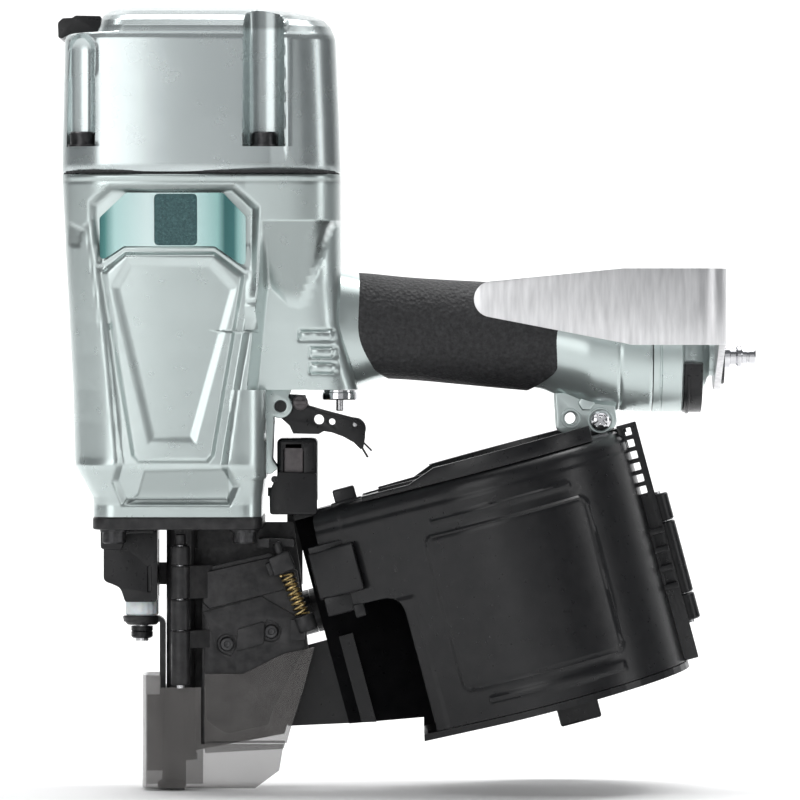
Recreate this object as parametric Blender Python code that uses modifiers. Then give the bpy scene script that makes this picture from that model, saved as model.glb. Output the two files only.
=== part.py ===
"""Pneumatic coil nailer, modelled in metres from dimensions in millimetres.

The origin is the point on the drive axis where a nail leaves the nose. +Z runs up the drive
axis, +X runs back towards the handle, and the door of the nail channel faces -Y.
"""

import math

import bmesh
import bpy
from mathutils import Matrix, Vector

MM = 0.001
GAP = 0.3  # between pieces that touch
SLIP = 0.1  # all round a piece that slides or turns in another
THROUGH = 1.0  # how far a cutter runs past the face it opens

# Motor body
BODY_BOTTOM = 123.0
BODY_TOP = 275.0
BODY_CORNER = 22.0
TOP_HALF = 52.0  # half width, and reach to the front, at the seam
WAIST_HALF = 43.5
WAIST_FRONT = 47.0
WAIST_REAR = 38.5
FOOT_HALF = 37.5
FOOT_FRONT = 38.25
FOOT_REAR = 36.5
FOOT_CORNER = 10.0
COLLAR_HEIGHT = 9.0
FLARE_HEIGHT = 25.0
CHAMBER_REAR = 71.6
CHAMBER_SHOULDER = 19.0  # full-width band below the seam
CHAMBER_NECK_HALF = 36.0
CHAMBER_NECK_RISE = 47.6  # above the valve boss
VALVE_BOSS_Z = 179.4
VALVE_BOSS_HALF = 30.0
VALVE_X = 71.0
VALVE_WALL = 8.5
CHAMBER_WALL = 6.0
CHAMBER_HOLLOW_HALF = 29.0
CHAMBER_HOLLOW_LOW = 206.0

# Cap
CAP_HEIGHT = 73.4
CAP_TOP_INSET = 5.0
CAP_SHOULDER = 15.0
CAP_PANEL_RISE = 2.0
CAP_PANEL_X = (-35.0, 26.0)
CAP_STEP_DROP = 13.0
CAP_STEP_X = -35.0
CAP_FLANGE = 10.4
CAP_BOLT_X = (-42.5, 38.0)
CAP_BOLT_Y = 41.5
CAP_GROOVE_DEPTH = 7.0
CAP_ROOF_THICK = 18.0
CAP_WALL = 7.0
CAP_HOLLOW_HALF = 30.0
GASKET = 1.0
DUCT_HALF = 12.0
DUCT_WIDTH = 8.0
DEFLECTOR_THICK = 9.0
DEFLECTOR_HALF = 20.0
DEFLECTOR_LIP = 1.7

# Socket bolts
BOLT_R = 3.0
BOLT_HEAD_R = 5.2
BOLT_HEAD_HIGH = 6.0
BOLT_GRIP = 13.0
BOLT_HEX_R = 2.6
BOLT_HEX_DEEP = 3.5

# Drive
PISTON_BORE_R = 30.0
LINER_WALL = 3.0
LINER_DROP = 7.0  # below the seam
LINER_COLLAR_Z = 226.0
LINER_COLLAR_HIGH = 6.0
RESERVOIR_R = 42.0
SEAT_TOP = 184.0
SEAT_FLOOR = 6.0
PISTON_THICK = 12.0
PISTON_RING_HIGH = 3.0
PISTON_RING_DEEP = 2.4
BUMPER_HIGH = 11.7
STROKE = 112.0
BLADE_R = 3.2
BLADE_TIP_Z = 124.0
VALVE_RING_R = 42.6
VALVE_SKIRT_R = 36.0
VALVE_HOLE_R = 14.0
VALVE_RING_HIGH = 10.8
VALVE_SPRING_R = 30.0
VALVE_SPRING_WIRE = 1.4

# Handle
HANDLE_X = 73.4
HANDLE_Z = 209.7
HANDLE_SLOPE = -0.0634
GRIP_FRONT = 80.0
GRIP_REAR = 166.0
GRIP_HALF_HIGH = (23.4, 25.0)
GRIP_HALF_WIDE = (20.0, 21.5)
GRIP_RAKE = (-0.3, 0.39)
GRIP_WALL = 3.0
HANDLE_BORE_R = 13.0
PLUG_Z = 194.4
TAIL_MID = 185.0
TAIL_MID_HALF = (27.0, 24.5)
TAIL_END = 211.0
TAIL_R = 25.3
TAIL_BORE_R = 15.0

# Tail
END_CAP_RIM = 13.7
END_CAP_STEP_R = 19.0
END_CAP_DOME = 11.0
END_BOSS_R = 9.0
END_BOSS_END = 243.6
PLUG_THREAD_R = 4.5
PLUG_BASE_R = 5.25
PLUG_NECK_R = 3.9
PLUG_RING_R = 5.0
PLUG_NOSE_R = 3.65
PLUG_BORE_R = 2.0
PLUG_LENGTH = 14.1
TRIM_OUTER_R = 25.0
TRIM_WIDTH = 7.5

# Rafter hook
HOOK_TIP_X = 130.5
HOOK_TIP_R = 7.9
HOOK_TIP_Z = 219.4
HOOK_WIDE_X = 200.0
HOOK_LOW = 199.4
HOOK_HIGH = 233.0
HOOK_SIDE_Y = -64.0
HOOK_THICK = 3.0
HOOK_BEND = 14.0
HOOK_REAR_X = 242.0
HOOK_EYE_R = 15.0
CLIP_R = 12.5

# Magazine bracket, on the underside of the tail
BRACKET_PIN = (174.6, 166.5)
BRACKET_SCREW = (188.0, 165.6)
BRACKET_LOBE_R = (5.5, 5.2)
BRACKET_INNER = 6.2
BRACKET_OUTER = 10.2
BRACKET_HOLE_R = 3.3
EAR_HALF = 5.9
EAR_LOBE_R = 5.0
POCKET_TOP = 173.0

# Trigger
TRIGGER_PIVOT = (44.6, 171.9)
TRIGGER_HALF = 9.6
TRIGGER_SLOT = 5.0
TRIGGER_PIN_R = 2.5
LUG_R = 5.0
LUG_THICK = 3.0
LUG_TAIL_Z = 143.0
ARM_PIVOT = (77.9, 163.7)
ARM_HALF = 2.5
ARM_PIN_R = 1.4
SELECTOR = (53.4, 173.6)
SELECTOR_R = 3.4
WIRE_R = 0.6
BUSHING_R = 8.0
BUSHING_FLANGE = 4.5
BUSHING_STEM_R = 6.0
BUSHING_STEM = 15.0
PLUNGER_R = 1.8
PLUNGER_TIP_Z = 169.6
PLUNGER_LENGTH = 22.0

# Nose
FLANGE_BOTTOM = 117.5
FLANGE_BOLT = 29.0
TUBE_R = 7.0
TUBE_BORE_R = 3.8
TUBE_TIP_Z = 13.0
FEED_SLOT_HALF = 3.3
FEED_SLOT_Z = (16.0, 108.0)
GUIDE_Y = (5.5, 9.5)
HINGE_Y = -18.5
KNUCKLE_R = 4.0
HINGE_PIN_R = 1.8
KNUCKLES = (47.5, 71.9, 85.7, 100.9, 109.5)  # levels between the door and nose knuckles
DOOR_ARM_LOW = 63.8
PAWL_SLOT = ((9.0, 27.0), (60.0, 76.0))

# Contact arm and depth adjustment
DIAL_X = -18.0
DIAL_R = 7.5
DIAL_Z = (77.9, 88.0)
EYE_R = 8.35
EYE_THICK = 2.6
KNOB_R = 4.8
KNOB_HIGH = 6.0
ARM_Y = (14.5, 16.5)
ARM_BAR_Z = (91.0, 101.0)
ARM_WEB_Z = (91.0, 95.0)
RISER_X = (47.0, 54.0)
RISER_TOP = 145.5
CAGE_X = (-34.7, -10.5)
CAGE_HALF = 12.0
CAGE_BOTTOM = 84.0
CAGE_ROOF = 112.5
CAGE_CURVE = 18.0
WELL_CLEARANCE = 0.35
STRAP_X = (-9.9, -7.4)
STRAP_HALF = 4.0
FOOT_INNER_R = 7.4
FOOT_OUTER_R = 9.0
FOOT_TOP = 45.0
FOOT_OPEN_X = 1.5
GUARD_X = (43.0, 61.0)
GUARD_Y = (-11.0, 19.0)
GUARD_Z = (128.0, 157.5)
GUARD_SCREW_R = 2.0
GUARD_SCREW_Y = -8.0
GUARD_SCREW_Z = 133.5

# Clear shields
SHIELD_WALL = 1.6
SHIELD_FRONT_X = -17.5
SHIELD_OUTER_Y = 14.1
SHIELD_BOTTOM = 0.8
SHIELD_TOP = 51.5
SHIELD_SIDE_TOP = 46.0
SHIELD_SIDE_X = 9.0
SKIRT_TOP = 20.6
SIDE_SHIELD_Y = (-12.1, -10.3)

# Door
DOOR_Y = (-9.9, -5.9)
DOOR_OUTLINE = ((9.5, 21.0), (46.7, 27.0), (57.0, 63.0), (52.0, 98.0), (40.0, 106.0), (9.5, 99.0))
DOOR_SCREWS = ((20.6, 65.3), (40.4, 70.9))
DOOR_SCREW_R = 2.0
DOOR_SCREW_HEAD_R = 3.6
LATCH_TOP = (45.6, 102.0)
LATCH_FOOT = (56.5, 73.5)
LATCH_CLEARANCE = 0.9
LATCH_BLOCK = 5.0
LATCH_ROUND = 0.96  # its radius as a share of its half length
LATCH_PIN_R = 1.5
LATCH_SPRING_R = 2.9

# Feeder
FEED_TILT = 15.0
FEED_START = Vector((24.0, 20.5, 69.5))
FEED_R = 10.0
FEED_BORE_R = 7.5
FEED_LENGTH = 36.0
FEED_WALL = 3.0
FEED_ROD_R = 3.0
FEED_PISTON = (4.0, 11.0)
FEED_ROD_OUT = 10.0
FEED_SPRING_R = 5.6

# Magazine, drawn in its own frame, which leans back by MAGAZINE_TILT
MAGAZINE_TILT = 15.0
DRUM_X = 175.0
DRUM_R = 59.0
DRUM_WALL = 2.5
DRUM_FLOOR = -3.0
DRUM_TOP = 105.5
FLOOR_THICK = 3.0
DECK_THICK = 2.5
DRUM_LIP = 0.8  # how far floor and deck stand out past the wall
RIM_RISE = 5.5
RIM_START_X = 145.0
RIM_END = 43.0  # behind the drum's middle, clear of the tail with the cover open
MOUTH_X = 80.0
MOUTH_HALF = 9.0
COVER_FRONT_X = 88.0
NOTCH_X = 118.0
NOTCH_Z = 60.0
BASE_ARM_X = (53.0, 92.0)
BASE_ARM_Y = (10.0, 12.5)
BASE_ARM_Z = (3.0, 47.0)
BASE_RELIEF = ((-10.0, 0.0), (109.0, 0.0), (109.0, 30.0), (-10.0, 24.5))  # upright side view
MAG_HINGE_OUT = 6.5  # behind the drum
MAG_KNUCKLE_R = 4.5
MAG_PIN_R = 1.8
MAG_KNUCKLES = (14.3, 26.0, 60.0, 72.0)
LUG_INSET = 0.5  # a hinge lug inside its knuckle
SPINE_BACK = (10.0, 2.0)  # in front of the hinge
SPINE_Y = (-9.0, -6.5)
TRAY_CLEARANCE = 2.5
TRAY_THICK = 2.5
HUB_R = 8.0
HUB_HIGH = 14.0
POST_R = 5.0
POST_HIGH = 60.0
TAB_X = (172.0, 191.0)
TAB_DROP = 12.0
MAG_LATCH_X = (82.0, 103.0)
MAG_LATCH_Z = (66.0, 88.0)
MAG_LATCH_THICK = 6.0

LEAN = Matrix.Rotation(math.radians(-MAGAZINE_TILT), 4, "Y")
UPRIGHT = Matrix.Identity(4)
BORE_MAX_Z = BODY_BOTTOM + SEAT_FLOOR
LINER_R = PISTON_BORE_R + LINER_WALL
PISTON_LOW = BORE_MAX_Z + GAP + BUMPER_HIGH + GAP + STROKE
CAP_BOTTOM = BODY_TOP + 2 * GAP + GASKET
CAP_TOP = CAP_BOTTOM + CAP_HEIGHT
CAP_STEP_Z = CAP_TOP - CAP_STEP_DROP
CAP_ROOF_Z = CAP_TOP - CAP_ROOF_THICK
LINER_TOP = BODY_TOP - LINER_DROP
VALVE_RING_LOW = CAP_BOTTOM + 2 * GAP
VALVE_RING_TOP = VALVE_RING_LOW + VALVE_RING_HIGH
CAP_BORE_R = VALVE_RING_R + 4 * SLIP
CAP_LEDGE = CAP_BOTTOM + CAP_FLANGE
FLANGE_TOP = BODY_BOTTOM - GAP
LATCH_Y = DOOR_Y[0] - LATCH_CLEARANCE - LATCH_ROUND * LATCH_BLOCK
MAG_HINGE_X = DRUM_X + DRUM_R + MAG_HINGE_OUT
SPINE_X = (MAG_HINGE_X - SPINE_BACK[0], MAG_HINGE_X - SPINE_BACK[1])
TRAY_R = DRUM_R - DRUM_WALL - TRAY_CLEARANCE
FEED_AXIS = Vector((math.cos(math.radians(FEED_TILT)), 0, math.sin(math.radians(FEED_TILT))))


# ---------------------------------------------------------------- helpers


def clear_scene():
    """Removes what the scene holds."""
    for obj in list(bpy.data.objects):
        bpy.data.objects.remove(obj)


def new_collection(name):
    """A collection in the scene."""
    made = bpy.data.collections.new(name)
    bpy.context.scene.collection.children.link(made)
    return made


def material(name, colour, roughness, metallic=0.0, alpha=1.0):
    """A Principled material."""
    made = bpy.data.materials.new(name)
    made.use_nodes = True
    shader = made.node_tree.nodes["Principled BSDF"]
    shader.inputs["Base Color"].default_value = (*colour, 1.0)
    shader.inputs["Roughness"].default_value = roughness
    shader.inputs["Metallic"].default_value = metallic
    shader.inputs["Alpha"].default_value = alpha
    return made


def to_object(name, shape):
    """An object of the model from a bmesh."""
    bmesh.ops.recalc_face_normals(shape, faces=shape.faces)
    mesh = bpy.data.meshes.new(name)
    shape.to_mesh(mesh)
    shape.free()
    obj = bpy.data.objects.new(name, mesh)
    PARTS.objects.link(obj)
    return obj


def arc(centre, radius, start, end, steps=4):
    """Points on an arc, from one angle in degrees to another."""
    turn = [math.radians(start + (end - start) * i / steps) for i in range(steps + 1)]
    return [(centre[0] + radius * math.cos(a), centre[1] + radius * math.sin(a)) for a in turn]


def rounded(x, y, radius, steps=4):
    """The outline of a rectangle with round corners, anticlockwise."""
    corners = ((x[1], y[1], 1, 1), (x[0], y[1], -1, 1), (x[0], y[0], -1, -1), (x[1], y[0], 1, -1))
    points = []
    for quarter, (px, py, sx, sy) in enumerate(corners):
        centre = (px - sx * radius, py - sy * radius)
        points += arc(centre, radius, 90 * quarter, 90 * quarter + 90, steps)
    return points


def box(name, x, y, z, soft=0.0):
    """A box between two values along each axis, with softened edges."""
    low, high = (Vector(ends) * MM for ends in zip(x, y, z))
    shape = bmesh.new()
    place = Matrix.Translation((low + high) / 2) @ Matrix.Diagonal((*(high - low), 1.0))
    bmesh.ops.create_cube(shape, size=1.0, matrix=place)
    obj = to_object(name, shape)
    if soft:
        soften(obj, soft)
    return obj


def soften(obj, width, segments=2):
    """Rounds an object's sharp edges."""
    bevel = obj.modifiers.new("Soft edges", "BEVEL")
    bevel.width = width * MM
    bevel.segments = segments
    bevel.limit_method = "ANGLE"
    bevel.angle_limit = math.radians(40)


def rod(name, start, end, radius, end_radius=None, sides=24):
    """A cylinder or cone between two points."""
    start, end = Vector(start) * MM, Vector(end) * MM
    turn = (end - start).to_track_quat("Z", "Y").to_matrix().to_4x4()
    shape = bmesh.new()
    bmesh.ops.create_cone(
        shape,
        cap_ends=True,
        segments=sides,
        radius1=radius * MM,
        radius2=(radius if end_radius is None else end_radius) * MM,
        depth=(end - start).length,
        matrix=Matrix.Translation((start + end) / 2) @ turn,
    )
    return to_object(name, shape)


def turned(name, base, direction, profile, sides=32):
    """A profile of (radius, height) pairs turned about an axis, outer side first, top to bottom."""
    points = [(r * MM, 0.0, h * MM) for r, h in profile]
    edges = [(i, i + 1) for i in range(len(points) - 1)]
    if profile[0][0] > 0:
        edges.append((len(points) - 1, 0))
    mesh = bpy.data.meshes.new(name)
    mesh.from_pydata(points, edges, [])
    obj = bpy.data.objects.new(name, mesh)
    PARTS.objects.link(obj)
    obj.location = Vector(base) * MM
    obj.rotation_euler = Vector(direction).to_track_quat("Z", "Y").to_euler()
    screw = obj.modifiers.new("Turn", "SCREW")
    screw.steps = sides
    screw.render_steps = sides
    screw.use_merge_vertices = True
    screw.merge_threshold = 0.00001
    return obj


def to_mesh(curve, name):
    """The curve's shape as a mesh object with its caps welded."""
    bpy.context.view_layer.update()
    graph = bpy.context.evaluated_depsgraph_get()
    mesh = bpy.data.meshes.new_from_object(curve.evaluated_get(graph))
    place = curve.matrix_world.copy()
    bpy.data.objects.remove(curve)
    shape = bmesh.new()
    shape.from_mesh(mesh)
    bmesh.ops.remove_doubles(shape, verts=shape.verts, dist=0.000001)
    obj = to_object(name, shape)
    obj.matrix_world = place
    return obj


def plate(name, plane, outline, span, holes=()):
    """A flat outline in the XY, XZ or YZ plane, with thickness between two values of the third axis."""
    curve = bpy.data.curves.new(name, "CURVE")
    curve.dimensions = "2D"
    curve.fill_mode = "BOTH"
    curve.extrude = (span[1] - span[0]) / 2 * MM
    for points in (outline, *holes):
        spline = curve.splines.new("POLY")
        spline.points.add(len(points) - 1)
        spline.use_cyclic_u = True
        for point, (u, v) in zip(spline.points, points):
            point.co = (u * MM, v * MM, 0.0, 1.0)
    obj = bpy.data.objects.new(name + "_outline", curve)
    PARTS.objects.link(obj)
    middle = (span[0] + span[1]) / 2 * MM
    right = math.pi / 2
    places = {
        "XY": ((0, 0, middle), (0, 0, 0)),
        "XZ": ((0, middle, 0), (right, 0, 0)),
        "YZ": ((middle, 0, 0), (right, 0, right)),
    }
    obj.location, obj.rotation_euler = places[plane]
    return to_mesh(obj, name)


def wire(name, points, radius):
    """A round wire through the given points, in millimetres."""
    curve = bpy.data.curves.new(name, "CURVE")
    curve.dimensions = "3D"
    curve.bevel_depth = radius * MM
    curve.bevel_resolution = 2
    curve.use_fill_caps = True
    spline = curve.splines.new("POLY")
    spline.points.add(len(points) - 1)
    for point, place in zip(spline.points, points):
        point.co = (*(Vector(place) * MM), 1.0)
    obj = bpy.data.objects.new(name, curve)
    PARTS.objects.link(obj)
    return obj


def coil(name, start, end, radius, wire_r, turns, per_turn=12):
    """A compression spring between two points."""
    start, end = Vector(start), Vector(end)
    frame = (end - start).to_track_quat("Z", "Y").to_matrix()
    count = turns * per_turn
    points = []
    for i in range(count + 1):
        angle = 2 * math.pi * i / per_turn
        around = Vector((radius * math.cos(angle), radius * math.sin(angle), 0))
        points.append(start + (end - start) * (i / count) + frame @ around)
    return wire(name, points, wire_r)


def loft(name, rings):
    """A closed skin over rings of the same number of points."""
    shape = bmesh.new()
    rows = [[shape.verts.new(Vector(p) * MM) for p in ring] for ring in rings]
    count = len(rows[0])
    for low, high in zip(rows, rows[1:]):
        for i in range(count):
            j = (i + 1) % count
            shape.faces.new((low[i], low[j], high[j], high[i]))
    shape.faces.new(rows[0][::-1])
    shape.faces.new(rows[-1])
    return to_object(name, shape)


def level(outline, z):
    """A flat outline lifted to a height."""
    return [(x, y, z) for x, y in outline]


def combine(obj, other, operation):
    """Cuts another shape from an object, or joins it on."""
    step = obj.modifiers.new(other.name, "BOOLEAN")
    step.operation = operation
    step.solver = "EXACT"
    step.object = other
    PARTS.objects.unlink(other)
    CUTTERS.objects.link(other)
    other.hide_render = True
    other.display_type = "WIRE"


def cut(obj, *others):
    """Cuts shapes from an object."""
    for other in others:
        combine(obj, other, "DIFFERENCE")
    return obj


def join(obj, *others):
    """Joins shapes to an object."""
    for other in others:
        combine(obj, other, "UNION")
    return obj


def pivot(name, place):
    """An empty on a joint's axis."""
    empty = bpy.data.objects.new(name, None)
    empty.empty_display_size = 0.01
    empty.location = Vector(place)
    PARTS.objects.link(empty)
    bpy.context.view_layer.update()
    return empty


def shapes_of(obj):
    """An object with all the shapes that its Booleans use."""
    found = [obj]
    for step in obj.modifiers:
        if step.type == "BOOLEAN":
            found += shapes_of(step.object)
    return found


def carry(parent, *pieces, frame=UPRIGHT):
    """Parents pieces to an empty, from the frame that they are drawn in."""
    for piece in pieces:
        for obj in shapes_of(piece):
            obj.parent = parent
            obj.matrix_parent_inverse = parent.matrix_world.inverted() @ frame


def finish(obj, look, smooth=True):
    """Gives a piece its material, and round shading where it is round."""
    obj.data.materials.append(look)
    if smooth and obj.type == "MESH" and obj.data.polygons:
        obj.data.shade_smooth()
        obj.data.set_sharp_from_angle(angle=math.radians(35))
    return obj


def xz(point, y):
    """A point of the side view at a depth."""
    return (point[0], y, point[1])


def cross_rod(name, centre, y, radius, sides=24):
    """A cylinder across the tool, through a point of the side view."""
    return rod(name, xz(centre, y[0]), xz(centre, y[1]), radius, sides=sides)


# ---------------------------------------------------------------- motor body


def handle_z(x):
    """Height of the handle's middle line."""
    return HANDLE_Z + HANDLE_SLOPE * (x - HANDLE_X)


def oval(x, z, half_high, half_wide, rake=0.0, steps=24):
    """An oval section across the handle, leaning by rake."""
    points = []
    for i in range(steps):
        angle = 2 * math.pi * i / steps
        up = half_high * math.sin(angle)
        points.append((x + rake * up, half_wide * math.cos(angle), z + up))
    return points


def grip_ovals(shrink, reach=0.0):
    """The handle's sections, inset from the grip's surface and longer at each end by reach."""
    low_high, tail_high = (h - shrink for h in GRIP_HALF_HIGH)
    low_wide, tail_wide = (w - shrink for w in GRIP_HALF_WIDE)
    front, rear = GRIP_FRONT - reach, GRIP_REAR + reach
    return [
        oval(front, handle_z(front), low_high, low_wide, GRIP_RAKE[0]),
        oval(GRIP_FRONT + 20, handle_z(GRIP_FRONT + 20), low_high, low_wide),
        oval(GRIP_REAR - 20, handle_z(GRIP_REAR - 20), tail_high, tail_wide),
        oval(rear, handle_z(rear), tail_high, tail_wide, GRIP_RAKE[1]),
    ]


def barrel():
    """The tapered barrel round the cylinder."""
    foot = rounded((-FOOT_FRONT, FOOT_REAR), (-FOOT_HALF, FOOT_HALF), FOOT_CORNER)
    waist = rounded((-WAIST_FRONT, WAIST_REAR), (-WAIST_HALF, WAIST_HALF), BODY_CORNER)
    top = rounded((-TOP_HALF, TOP_HALF), (-TOP_HALF, TOP_HALF), BODY_CORNER)
    return loft("housing", [
        level(foot, BODY_BOTTOM),
        level(foot, BODY_BOTTOM + COLLAR_HEIGHT),
        level(waist, BODY_BOTTOM + FLARE_HEIGHT),
        level(waist, VALVE_BOSS_Z + 1),
        level(top, BODY_TOP),
    ])


def rear_chamber():
    """The air chamber behind the barrel, which carries the trigger valve."""
    top = rounded((0, CHAMBER_REAR), (-TOP_HALF, TOP_HALF), BODY_CORNER)
    neck = rounded((0, CHAMBER_REAR), (-CHAMBER_NECK_HALF, CHAMBER_NECK_HALF), BODY_CORNER / 2)
    boss_end = VALVE_X + VALVE_WALL
    boss = rounded((20, boss_end), (-VALVE_BOSS_HALF, VALVE_BOSS_HALF), BODY_CORNER / 2)
    return loft("rear_chamber", [
        level(boss, VALVE_BOSS_Z),
        level(neck, VALVE_BOSS_Z + CHAMBER_NECK_RISE),
        level(top, BODY_TOP - CHAMBER_SHOULDER),
        level(top, BODY_TOP),
    ])


def tail_block():
    """The round end of the handle, which takes the end cap."""
    start = GRIP_REAR + 2 * GAP
    return loft("tail_block", [
        oval(start, handle_z(start), GRIP_HALF_HIGH[1], GRIP_HALF_WIDE[1], GRIP_RAKE[1]),
        oval(TAIL_MID, handle_z(TAIL_MID) - 5, *TAIL_MID_HALF),
        oval(TAIL_END, PLUG_Z, TAIL_R, TAIL_R),
    ])


def bracket_outline():
    """The double lobe that holds the magazine's ear."""
    front = arc(BRACKET_PIN, BRACKET_LOBE_R[0], 180, 300)
    rear = arc(BRACKET_SCREW, BRACKET_LOBE_R[1], 240, 360)
    top = POCKET_TOP + 5
    return front + rear + [(rear[-1][0], top), (front[0][0], top)]


def lug_outline():
    """A trigger lug, tapering down the barrel's rear edge."""
    x, z = TRIGGER_PIVOT
    edge = WAIST_REAR - 4
    return [(edge, VALVE_BOSS_Z + 3), (edge, LUG_TAIL_Z), (edge + 5, LUG_TAIL_Z + 12)] + arc(
        (x, z), LUG_R, -30, 60
    ) + [(x + LUG_R, VALVE_BOSS_Z + 3)]


def mirrored(name, plane, outline, inner, outer):
    """Two plates, one on each side of the middle plane."""
    return [
        plate(name + "_near", plane, outline, (-outer, -inner)),
        plate(name + "_far", plane, outline, (inner, outer)),
    ]


def bolt_places():
    """Where the cap's four bolts stand."""
    return [(x, y) for x in CAP_BOLT_X for y in (-CAP_BOLT_Y, CAP_BOLT_Y)]


def flange_places():
    """Where the nose flange's four bolts stand."""
    return [(x, y) for x in (-FLANGE_BOLT, FLANGE_BOLT) for y in (-FLANGE_BOLT, FLANGE_BOLT)]


def bolt_holes(name, places, low, high):
    """Cutters for a set of upright bolts."""
    hole = BOLT_R + GAP
    return [
        rod(f"{name}_{i}", (x, y, low), (x, y, high), hole, sides=16)
        for i, (x, y) in enumerate(places)
    ]


def make_housing():
    """The main casting: barrel, air chamber, handle core and lugs in one piece."""
    body = barrel()
    core = loft("handle_core", grip_ovals(GRIP_WALL + GAP, reach=14))
    join(body, rear_chamber(), core, tail_block())
    lug_inner = TRIGGER_HALF + 2 * GAP
    join(body, *mirrored("lug", "XZ", lug_outline(), lug_inner, lug_inner + LUG_THICK))
    join(body, *mirrored("bracket", "XZ", bracket_outline(), BRACKET_INNER, BRACKET_OUTER))
    top = BODY_TOP + THROUGH
    low = BODY_BOTTOM
    hollow = (0, CHAMBER_REAR - CHAMBER_WALL)
    half = CHAMBER_HOLLOW_HALF
    cut(body, box("chamber_hollow", hollow, (-half, half), (CHAMBER_HOLLOW_LOW, top), 4))
    cut(body, rod("reservoir", (0, 0, SEAT_TOP), (0, 0, top), RESERVOIR_R, sides=48))
    cut(body, rod("seat", (0, 0, BORE_MAX_Z), (0, 0, SEAT_TOP + 5), LINER_R + GAP, sides=48))
    cut(body, rod("mouth", (0, 0, low - THROUGH), (0, 0, BORE_MAX_Z + 5), TUBE_R + 5))
    front, back = (45, 0, handle_z(45)), (TAIL_MID, 0, handle_z(TAIL_MID))
    cut(body, rod("handle_bore", front, back, HANDLE_BORE_R))
    tail = (TAIL_END + THROUGH, 0, PLUG_Z)
    cut(body, rod("tail_bore", (TAIL_MID - 10, 0, PLUG_Z), tail, TAIL_BORE_R))
    stem = BUSHING_STEM_R + GAP
    valve_top = VALVE_BOSS_Z + BUSHING_STEM + 8
    cut(body, rod("valve_bore", (VALVE_X, 0, VALVE_BOSS_Z - 5), (VALVE_X, 0, valve_top), stem))
    cut(body, *bolt_holes("cap_hole", bolt_places(), BODY_TOP - BOLT_GRIP - 2, top))
    cut(body, *bolt_holes("flange_hole", flange_places(), low - THROUGH, low + BOLT_GRIP + 4))
    reach = TRIGGER_HALF + 8
    cut(body, cross_rod("pivot_hole", TRIGGER_PIVOT, (-reach, reach), TRIGGER_PIN_R + GAP, 16))
    ends = (BRACKET_PIN[0] - 8, BRACKET_SCREW[0] + 8)
    cut(body, box("ear_pocket", ends, (-BRACKET_INNER, BRACKET_INNER), (150, POCKET_TOP)))
    for name, place in (("pin_hole", BRACKET_PIN), ("screw_hole", BRACKET_SCREW)):
        cut(body, cross_rod(name, place, (-20, 20), BRACKET_HOLE_R, 16))
    return finish(body, PAINT)


def make_cap():
    """The cylinder cap, with four bolt grooves and the exhaust duct at its front."""
    rear, half = CHAMBER_REAR, TOP_HALF
    inset = CAP_TOP_INSET
    low = rounded((-half, rear), (-half, half), BODY_CORNER)
    high = rounded((-half + 1, rear - inset), (-half + inset, half - inset), BODY_CORNER)
    roof = rounded((-half + 9, rear - 20), (-half + 14, half - 14), BODY_CORNER - 4)
    shoulder = CAP_TOP - CAP_SHOULDER
    body = loft("cylinder_cap", [
        level(low, CAP_BOTTOM),
        level(low, CAP_BOTTOM + 20),
        level(high, shoulder),
        level(roof, CAP_TOP - CAP_PANEL_RISE),
    ])
    panel = box("cap_panel", CAP_PANEL_X, (-half + inset + 4, half - inset - 4), (CAP_ROOF_Z, CAP_TOP), 5)
    join(body, panel)
    front = box("front_step", (-90, CAP_STEP_X), (-90, 90), (CAP_STEP_Z, CAP_TOP + 9))
    cut(body, front)
    bore = rod("cap_bore", (0, 0, BODY_TOP), (0, 0, CAP_ROOF_Z), CAP_BORE_R, sides=48)
    cut(body, bore)
    hollow = (0, rear - inset - CAP_WALL)
    half_hollow = (-CAP_HOLLOW_HALF, CAP_HOLLOW_HALF)
    cut(body, box("cap_hollow", hollow, half_hollow, (BODY_TOP, CAP_ROOF_Z - 3), 4))
    duct_x = (CAP_STEP_X - 3 - DUCT_WIDTH, CAP_STEP_X - 3)
    duct_z = (CAP_LEDGE + 12, CAP_STEP_Z + THROUGH)
    cut(body, box("exhaust_duct", duct_x, (-DUCT_HALF, DUCT_HALF), duct_z))
    reach = CAP_GROOVE_DEPTH
    for i, (x, y) in enumerate(bolt_places()):
        inner = abs(y) - reach
        side = (inner, 90) if y > 0 else (-90, -inner)
        outline = rounded((x - reach, x + reach), side, 3, 3)
        cut(body, plate(f"groove_{i}", "XY", outline, (CAP_LEDGE, CAP_TOP + 20)))
    cut(body, *bolt_holes("cap_bolt_hole", bolt_places(), BODY_TOP, CAP_LEDGE + THROUGH))
    return finish(body, PAINT)


def make_gasket():
    """The flat gasket in the cap's seam."""
    edge = 0.5
    outline = rounded(
        (-TOP_HALF + edge, CHAMBER_REAR - edge), (-TOP_HALF + edge, TOP_HALF - edge), BODY_CORNER
    )
    holes = [arc(place, BOLT_R + GAP, 0, 337.5, 15) for place in bolt_places()]
    holes.append(arc((0, 0), CAP_BORE_R + GAP, 0, 350, 35))
    level_z = (BODY_TOP + GAP, BODY_TOP + GAP + GASKET)
    return finish(plate("cap_gasket", "XY", outline, level_z, holes), RUBBER)


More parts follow.
